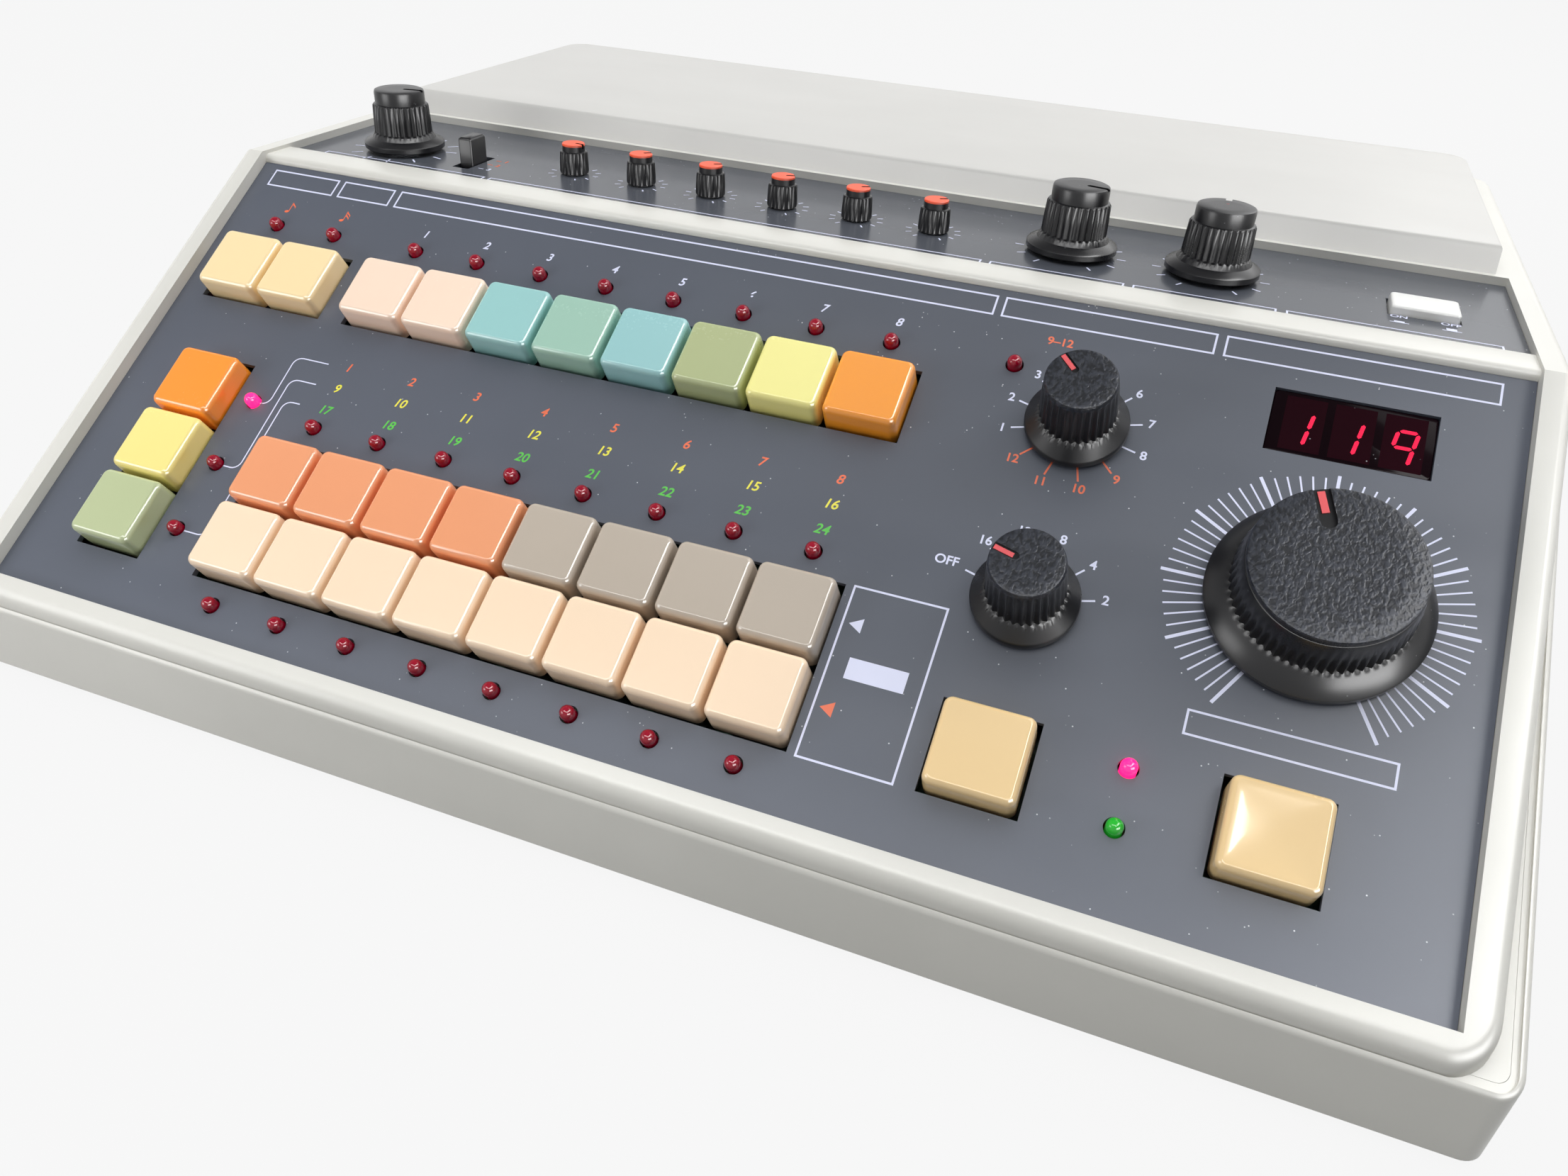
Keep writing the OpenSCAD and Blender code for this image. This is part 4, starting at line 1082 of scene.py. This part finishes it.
def segment_digit(bm, digit, x, y, z, material):
    """A slanted seven-segment digit, centred at (x, y)."""
    half_w, half_h, t = DIGIT_HEIGHT * 0.24, DIGIT_HEIGHT / 2, DIGIT_HEIGHT * 0.105
    gap = t * 0.25
    spans = {"a": ((-half_w, half_h), (half_w, half_h)), "b": ((half_w, half_h), (half_w, 0)),
             "c": ((half_w, 0), (half_w, -half_h)), "d": ((-half_w, -half_h), (half_w, -half_h)),
             "e": ((-half_w, 0), (-half_w, -half_h)), "f": ((-half_w, half_h), (-half_w, 0)),
             "g": ((-half_w, 0), (half_w, 0))}
    for name in LIT_SEGMENTS[digit]:
        (x0, y0), (x1, y1) = spans[name]
        along = Vector((x1 - x0, y1 - y0)).normalized()
        across = Vector((-along.y, along.x)) * t / 2
        a, b = Vector((x0, y0)) + along * gap, Vector((x1, y1)) - along * gap
        shape = [a, a + along * t / 2 + across, b - along * t / 2 + across, b,
                 b - along * t / 2 - across, a + along * t / 2 - across]
        corners = [bm.verts.new((x + p.x + p.y * SLANT, y + p.y, z)) for p in shape]
        bm.faces.new(corners).material_index = material

# %% [markdown]
# ## Display: the window
# A smoked window lies a little below the panel's face. Behind it three dark red tiles carry the
# digits. True smoked plastic would need light from inside to show them, so the window is a dark
# block, and the tiles and the digits lie on it, hundredths of a millimetre apart, so that nothing
# flickers.

# %% Display: the window
WINDOW_CELL = (12.39, 2.99)
WINDOW_W, WINDOW_L = 35 * MM, 16.8 * MM
WINDOW_DROP = 0.5 * MM
WINDOW_EDGE = 0.3 * MM
TILE_HALF = (4.4 * MM, 7.2 * MM)
STEP_UP = 0.02 * MM

bm = bmesh.new()
cx, cy = cell(*WINDOW_CELL)
steps = ((0, -3 * MM), (0, -WINDOW_DROP - WINDOW_EDGE), (WINDOW_EDGE, -WINDOW_DROP))
loft(bm, [square_ring(WINDOW_W / 2 - inset, WINDOW_L / 2 - inset, 1 * MM, z, (cx, cy))
          for inset, z in steps])
for column in (-0.51, 0.02, 0.55):
    x = cx + column * PITCH
    corners = [(x + u * TILE_HALF[0], cy + v * TILE_HALF[1])
               for u, v in ((-1, -1), (1, -1), (1, 1), (-1, 1))]
    tile = bm.faces.new([bm.verts.new((u, v, STEP_UP - WINDOW_DROP)) for u, v in corners])
    tile.material_index = 1
for digit, column in zip("119", (-0.55, -0.02, 0.55)):
    segment_digit(bm, digit, cx + column * PITCH, cy - 0.06 * PITCH, 2 * STEP_UP - WINDOW_DROP, 2)
piece("display", bm, [WINDOW, WINDOW_TILE, DIGIT], "case", ["display_window"], KEYS)

# %% [markdown]
# ## Print on the panels
# The panels are screen printed: frames, scales, lines and figures in white, orange, yellow and
# green. A texture would need an image, and none is used here. So the print is flat mesh, 0.03 mm
# above the paint. Words are left out: frames stay empty, and plain numbers stand where a lamp or
# a step needs a mark.

# %% Print on the panels
PRINT_Z = 0.03 * MM
LINE = 0.5 * MM
BOLD = 0.07 * MM
FONT_SIZE = 1.38


class Print:
    """Flat print on one panel."""

    def __init__(self, place):
        self.bm = bmesh.new()
        self.place = place

    def shape(self, points, colour=WHITE):
        face = self.bm.faces.new([self.bm.verts.new((x, y, PRINT_Z)) for x, y in points])
        face.material_index = colour

    def bar(self, start, end, width=LINE, colour=WHITE):
        a, b = Vector(start), Vector(end)
        side = Vector((a.y - b.y, b.x - a.x)).normalized() * width / 2
        self.shape([a - side, b - side, b + side, a + side], colour)

    def frame(self, low, high, width=LINE, colour=WHITE):
        """An open rectangle of four bars."""
        x0, y0, x1, y1 = *self.place(*low), *self.place(*high)
        h = width / 2
        for u0, v0, u1, v1 in ((x0 - h, y0 - h, x1 + h, y0 + h), (x0 - h, y1 - h, x1 + h, y1 + h),
                               (x0 - h, y0 + h, x0 + h, y1 - h), (x1 - h, y0 + h, x1 + h, y1 - h)):
            self.shape([(u0, v0), (u1, v0), (u1, v1), (u0, v1)], colour)

    def tick(self, centre, degrees, inner, outer, width=LINE, colour=WHITE):
        """A bar that points at a knob's shaft."""
        way = Vector((math.cos(math.radians(degrees)), math.sin(math.radians(degrees))))
        middle = Vector(centre)
        self.bar(middle + way * inner, middle + way * outer, width, colour)

    def number(self, text, centre, height, colour=WHITE, shear=0.0):
        """A figure in Blender's own font, as flat mesh."""
        curve = bpy.data.curves.new("figure", "FONT")
        curve.body = text
        curve.size = height * FONT_SIZE
        curve.shear = shear
        curve.offset = BOLD
        curve.align_x = "CENTER"
        curve.align_y = "CENTER"
        thing = bpy.data.objects.new("figure", curve)
        bpy.context.scene.collection.objects.link(thing)
        depsgraph = bpy.context.evaluated_depsgraph_get()
        mesh = bpy.data.meshes.new_from_object(thing.evaluated_get(depsgraph))
        mesh.transform(Matrix.Translation((*centre, PRINT_Z)))
        known = len(self.bm.faces)
        self.bm.from_mesh(mesh)
        self.bm.faces.ensure_lookup_table()
        for face in self.bm.faces[known:]:
            face.material_index = colour
        bpy.data.objects.remove(thing)
        bpy.data.curves.remove(curve)
        bpy.data.meshes.remove(mesh)

    def line(self, points, width=LINE, colour=WHITE):
        """A line through points, with mitred corners."""
        points = [Vector(p) for p in points]
        left, right = [], []
        for i, p in enumerate(points):
            before = (p - points[i - 1]).normalized() if i else (points[1] - p).normalized()
            after = (points[i + 1] - p).normalized() if i < len(points) - 1 else before
            way = (before + after).normalized()
            side = Vector((-way.y, way.x)) * width / 2 / max(0.5, way.dot(before))
            left.append(p + side)
            right.append(p - side)
        for i in range(len(points) - 1):
            self.shape([right[i], right[i + 1], left[i + 1], left[i]], colour)

    def finish(self, name, at):
        piece(name, self.bm, PRINTS, "case", (), at)

# %% [markdown]
# ## Key panel: frames
# On the real panel, headings are framed. The words are left out here, and the empty frames stay,
# because they give the panel its order. All places are in button spacings, as they were measured.

# %% Key panel: frames
HEADING_ROWS = (3.72, 4.0)
HEADINGS = [(-2.99, -1.85), (-1.735, -0.87), (-0.747, 8.09), (8.206, 10.747), (10.87, 13.835)]
art = Print(cell)
for x0, x1 in HEADINGS:
    art.frame((x0, HEADING_ROWS[0]), (x1, HEADING_ROWS[1]))
art.frame((11.365, -0.988), (13.382, -0.724))
art.frame((7.606, -2.37), (8.688, -0.294))
for y, colour in ((-0.747, WHITE), (-1.77, ORANGE)):
    art.shape([cell(7.68, y), cell(7.835, y - 0.09), cell(7.835, y + 0.09)], colour)
art.shape([cell(7.82, -1.388), cell(8.5, -1.388), cell(8.5, -1.135), cell(7.82, -1.135)])
print(len(art.bm.faces), "faces in the frames")

# %% [markdown]
# ## Key panel: figures of the steps
# Each lamp of the arranger has a figure above it, and each step of the rhythm three, in orange,
# yellow and green. They lean, as the printed ones do. A font's outline is made a mesh, because
# only a mesh can be carried along by a body.

# %% Key panel: figures of the steps
STEP_ROWS = ((0.985, ORANGE), (0.641, YELLOW), (0.294, GREEN))
LEAN = 0.2
LAMP_FIGURES = 3.34
for i in range(8):
    art.number(str(i + 1), cell(i, LAMP_FIGURES), 2.5 * MM, WHITE, LEAN)
    for k, (y, colour) in enumerate(STEP_ROWS):
        art.number(str(8 * k + i + 1), cell(i, y), 2.6 * MM, colour, LEAN)
print(len(art.bm.faces), "faces with the figures")

# %% [markdown]
# ## Key panel: lines from the banks
# Three lines lead from the bank lamps to the three rows of figures, with round corners. Each is a
# list of points with two quarter circles, and the line helper gives it a width. It mitres the
# corners, so that no gaps show.

# %% Key panel: lines from the banks
LEADS = ((0.173, -0.853, 0.976, -0.324), (-0.83, -0.735, 0.635, -0.335),
         (-1.83, -0.635, 0.294, -0.40))
LEAD_START = -0.965
TURN = 0.12
quarter = [math.pi / 2 * i / 5 for i in range(6)]
for y, x, up, end in LEADS:
    low = [(x - TURN + TURN * math.sin(a), y + TURN - TURN * math.cos(a)) for a in quarter]
    high = [(x + TURN - TURN * math.cos(a), up - TURN + TURN * math.sin(a)) for a in quarter]
    art.line([cell(*p) for p in [(LEAD_START, y), *low, *high, (end, up)]], 0.35 * MM)
print(len(LEADS), "lines")

# %% [markdown]
# ## Key panel: scales of the selectors
# Each selector has ticks with a figure outside them, thirty degrees apart. Angles are counted
# from the right, against the clock, as in mathematics, so the scales run downwards.

# %% Key panel: scales of the selectors
TICK = (10.8 * MM, 15 * MM, 0.45 * MM)
FIGURE = 2.3 * MM
intro = cell(*INTRO)
for i in range(12):
    a = 195 - 30 * i
    colour = WHITE if i < 8 else ORANGE
    art.tick(intro, a, *TICK, colour)
    art.number(str(i + 1), polar(17 * MM, a, intro), FIGURE, colour)
art.number("9–12", cell(9.0, 3.48), FIGURE, ORANGE)
measures = cell(*MEASURES)
for a, text in ((165, "OFF"), (135, "16"), (105, "12"), (75, "8"), (45, "4"), (15, "2")):
    art.tick(measures, a, *TICK)
    reach = 17.2 * MM + (2.6 * MM if text == "OFF" else 0)
    art.number(text, polar(reach, a, measures), FIGURE)
print(len(art.bm.faces), "faces with the selectors' scales")

# %% [markdown]
# ## Key panel: scale of the dial
# The tempo dial has 61 ticks, five degrees apart, over 300 degrees. Every sixth is longer and
# bolder, so that the eye can count them.

# %% Key panel: scale of the dial
DIAL_TICKS = 61
dial = cell(*DIAL)
for i in range(DIAL_TICKS):
    end, width = (32, 0.75) if i % 6 == 0 else (31, 0.4)
    art.tick(dial, 240 - 5 * i, 21.6 * MM, end * MM, width * MM)
print(DIAL_TICKS, "ticks around the dial")

# %% [markdown]
# ## Key panel: note marks
# A small quaver stands over each register button, single over one and double over the other. It
# is an oval head, a stem and one or two flags, all flat.

# %% Key panel: note marks
def note_mark(x, y, double):
    """A small quaver mark."""
    turns = [2 * math.pi * i / 14 for i in range(14)]
    art.shape([cell(x - 0.03 + 0.035 * math.cos(a) + 0.008 * math.sin(a),
                    y - 0.07 + 0.024 * math.sin(a)) for a in turns], ORANGE)
    art.bar(cell(x, y - 0.065), cell(x, y + 0.1), 0.25 * MM, ORANGE)
    for drop in (0, 0.05) if double else (0,):
        art.shape([cell(x + right, y + up - drop) for right, up in
                   ((0, 0.1), (0.07, 0.04), (0.075, 0), (0.05, 0.035), (0, 0.065))], ORANGE)


note_mark(-2.365, 3.37, False)
note_mark(-1.41, 3.39, True)
art.finish("key_print", KEYS)

# %% [markdown]
# ## Knob panel: frames and scales
# The level panel's print is laid out on its own frame. The scales of the level knobs run over 300
# degrees in ten steps, and those of the skirted knobs are wider. The mode knob has a tick for
# each of its twelve places.

# %% Knob panel: frames and scales
SWITCH_FIGURES, SWITCH_MARKS = 7.47, 7.27
half_depth = (cad_box[1].y - cad_box[0].y) / 2
SCALE = [240 - 30 * k for k in range(11)]


def rear_cell(column, row):
    """A place on the knob panel, its row counted in button spacings from the case's front."""
    return (column - CENTRE_COLUMN) * PITCH, (row + 0.28) * PITCH - half_depth - up_front


art = Print(rear_cell)
for x0, x1 in ((-2.765, 0.047), (0.159, 7.63), (7.765, 9.488), (9.618, 11.341), (11.476, 13.888)):
    art.frame((x0, 6.75), (x1, 6.98))
for i in range(1, 7):
    for a in SCALE:
        art.tick(spot(f"knob_voice_{i}_turn"), a, 6.2 * MM, 7.9 * MM, 0.45 * MM)
for name in ("knob_accent_turn", "knob_volume_turn"):
    for a in SCALE:
        art.tick(spot(name), a, 12.6 * MM, 15 * MM)
for k in range(12):
    art.tick(spot("knob_mode_turn"), 195 - 30 * k, 13 * MM, 16.4 * MM)
print(len(art.bm.faces), "faces in frames and scales")

# %% [markdown]
# ## Knob panel: marks of the switches
# The power button has ON and OFF behind it, each over a small block that stands for the button
# down or up. Beside the lever, three bars and figures mark its places.

# %% Knob panel: marks of the switches
for text, x, up in (("ON", 12.77, 0.9 * MM), ("OFF", 13.36, 1.5 * MM)):
    art.number(text, rear_cell(x, SWITCH_FIGURES), 1.9 * MM, WHITE, LEAN / 2)
    cx, cy = rear_cell(x, SWITCH_MARKS)
    art.bar((cx - 2.2 * MM, cy - 0.5 * MM), (cx + 2.2 * MM, cy - 0.5 * MM), 0.35 * MM)
    foot = cy - 0.3 * MM
    art.shape([(cx - 1.2 * MM, foot), (cx + 1.2 * MM, foot), (cx + 1.2 * MM, foot + up),
               (cx - 1.2 * MM, foot + up)])
LEVER_STEP = 5 * MM
lever_low, lever_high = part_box("slide_lever")
x = lever_high.x + LEVER_STEP
middle = (lever_low.y + lever_high.y) / 2 - up_front
for k, colour in enumerate((WHITE, ORANGE, ORANGE)):
    y = middle + (k - 1) * LEVER_STEP
    art.bar((x - 2.4 * MM, y), (x - 0.6 * MM, y), 0.35 * MM, colour)
    art.number(str(3 - k), (x + 1.2 * MM, y), 2 * MM, colour)
art.finish("knob_print", KNOBS)

# %% [markdown]
# ## Power button and slide lever
# Both are small rounded blocks that stand where their solids do. They take their size from those
# solids, so that only the rounding is new: a quarter circle for the button, and three short steps
# for the lever.

# %% Power button and slide lever
def block(name, node, material, corner, bottom, edge):
    """A rounded block over its solid; edge holds the inset and drop of each ring."""
    low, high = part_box(node)
    centre = (low.x + high.x) / 2, (low.y + high.y) / 2
    half_w, half_l = (high.x - low.x) / 2, (high.y - low.y) / 2
    rings = [square_ring(half_w, half_l, corner, bottom, centre)]
    for inset, drop in edge:
        rings.append(square_ring(half_w - inset, half_l - inset, corner, high.z - drop, centre))
    bm = bmesh.new()
    loft(bm, rings)
    piece(name, bm, [material], node, [node])


POWER_ROUND = 0.7 * MM
block("power_cap", "button_power", POWER_WHITE, 0.8 * MM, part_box("button_power")[1].z - 6.2 * MM,
      [(POWER_ROUND * (1 - math.cos(a)), POWER_ROUND * (1 - math.sin(a))) for a in quarter])
block("slide_handle", "slide_lever", BLACK, 0.5 * MM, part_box("slide_lever")[0].z + 5 * MM,
      [(0, 0.8 * MM), (0.2 * MM, 0.3 * MM), (0.6 * MM, 0)])

# %% [markdown]
# ## Solids that stay as they are
# The painted plates, the sockets, the feet and all that is inside are true to shape already.
# Making them anew would only risk a difference from the model. So they keep their mesh and get a
# finish in their material slot. Their triangles already point outwards, so nothing else is
# touched.

# %% Solids that stay as they are
STAY = {"key_panel": KEY_PAINT, "knob_panel": KNOB_PAINT, "circuit_boards": BOARD,
        "key_switches": DARK, "controls": STEEL, "rear_sockets": NICKEL, "power_supply": SUPPLY,
        "feet": RUBBER, "screws": STEEL}
for name, material in STAY.items():
    mesh = nodes[name].data
    mesh.materials.clear()
    mesh.materials.append(material)
print(len(STAY), "nodes keep their shape")

# %% [markdown]
# ## White background
# The photograph's background is pure white. More light would bleach the object, so the background
# is white by itself: Light Path tells which rays come from the camera or off a shiny or clear
# surface, and only those see it. All other rays see the plain floor and sky, so the object is lit
# at a natural level and keeps its shadow.

# %% White background
FLOOR_HALF, FLOOR_T = 9, 0.02
FLOOR_DARK, FLOOR_PALE = (0.2, 0.2, 0.2, 1), (0.22, 0.22, 0.22, 1)
WHITE_SHARE = 0.9


def shown_rays(tree):
    """1 for rays from the camera, off gloss or through glass, which see the pale background."""
    total, *others = [tree.add("ShaderNodeLightPath", f"Is {kind} Ray")
                      for kind in ("Camera", "Glossy", "Transmission")]
    for ray in others:
        total = tree.add("ShaderNodeMath", operation="ADD", use_clamp=True, Value=total,
                         Value_001=ray)
    return total


bm = box_bm((-FLOOR_HALF, -FLOOR_HALF, -FLOOR_T), (FLOOR_HALF, FLOOR_HALF, 0))
mesh = bpy.data.meshes.new("floor")
bm.to_mesh(mesh)
bm.free()
f = Finish("floor_pale")
f.put(Base_Color=f.mix(f.noise(3, 2), FLOOR_DARK, FLOOR_PALE), Roughness=0.9)
f.show(f.add("ShaderNodeMixShader", Fac=shown_rays(f) * WHITE_SHARE,
             Shader=Wire(f, f.shader.outputs[0]), Shader_001=f.add("ShaderNodeEmission")))
mesh.materials.append(f.material)
floor = bpy.data.objects.new("floor", mesh)
bpy.context.scene.collection.objects.link(floor)
print("floor", 2 * FLOOR_HALF, "m wide")

# %% [markdown]
# ## Soft lights
# Studio light comes from large panels. The window light at the right rear gives the shadows their
# side, the ceiling light fills from above, and a small light at the left makes the front face
# fade to the right, as it does in the photograph. Three panels only show in glossy surfaces: they
# draw the bright lines on the caps and the knobs' skirts.

# %% Soft lights
def lamp_panel(name, place, aim, size, power, diffuse=True, glossy=True):
    data = bpy.data.lights.new(name, "AREA")
    data.shape = "RECTANGLE"
    data.size, data.size_y = size
    data.energy = power
    thing = bpy.data.objects.new(name, data)
    thing.location = place
    thing.rotation_euler = (Vector(aim) - Vector(place)).to_track_quat("-Z", "Y").to_euler()
    thing.visible_diffuse = diffuse
    thing.visible_glossy = glossy
    bpy.context.scene.collection.objects.link(thing)
    print(f"{name}: {power} W")


AIM = (0, -0.03, 0.05)
lamp_panel("window_light", (0.75, 0.8, 1.1), AIM, (1.6, 1.2), 12)
lamp_panel("ceiling_light", (-0.2, 0.0, 1.5), AIM, (1.0, 1.0), 9, glossy=False)
lamp_panel("front_light", (-0.45, -0.5, 0.15), (-0.18, -0.16, 0.02), (0.3, 0.2), 1.2)
lamp_panel("edge_light_right", (0.75, -0.25, 1.05), AIM, (1.1, 0.3), 16, diffuse=False)
lamp_panel("edge_light_front", (-0.1, -0.85, 0.95), AIM, (1.5, 0.25), 12, diffuse=False)
lamp_panel("edge_light_low", (1.0, -0.85, 0.3), AIM, (1.0, 0.5), 22, diffuse=False)

# %% [markdown]
# ## Sky
# The sky gives soft light, mostly from above. Looked at directly it is white near the floor and
# dimmer overhead, so that level glossy faces keep some depth. Both brightnesses follow the height
# of a ray's direction, by Map Range.

# %% Sky
def level(tree, height, start, end, low, high):
    """A brightness that goes from low to high as the height goes from start to end."""
    return tree.add("ShaderNodeMapRange", Value=height, From_Min=start, From_Max=end, To_Min=low,
                    To_Max=high)


SKY_COLOUR, PURE_WHITE = (0.95, 0.98, 1, 1), (1, 1, 1, 1)
world = bpy.data.worlds.new("studio")
world.use_nodes = True
bpy.context.scene.world = world
tree = Nodes(world.node_tree)
height = tree.add("ShaderNodeSeparateXYZ", "Z", Vector=tree.add("ShaderNodeTexCoord", "Generated"))
surround = world.node_tree.nodes["Background"]
surround.inputs["Color"].default_value = SKY_COLOUR
tree.join(surround.inputs["Strength"], level(tree, height, 0.35, 1.0, 0.0, 1.2))
backdrop = tree.add("ShaderNodeBackground", Color=PURE_WHITE,
                    Strength=level(tree, height, 0.3, 0.75, 1.0, 0.3))
tree.show(tree.add("ShaderNodeMixShader", Fac=shown_rays(tree),
                   Shader=Wire(tree, surround.outputs[0]), Shader_001=backdrop))
print(len(world.node_tree.nodes), "nodes in the sky")
bpy.context.scene.view_settings.view_transform = "Standard"
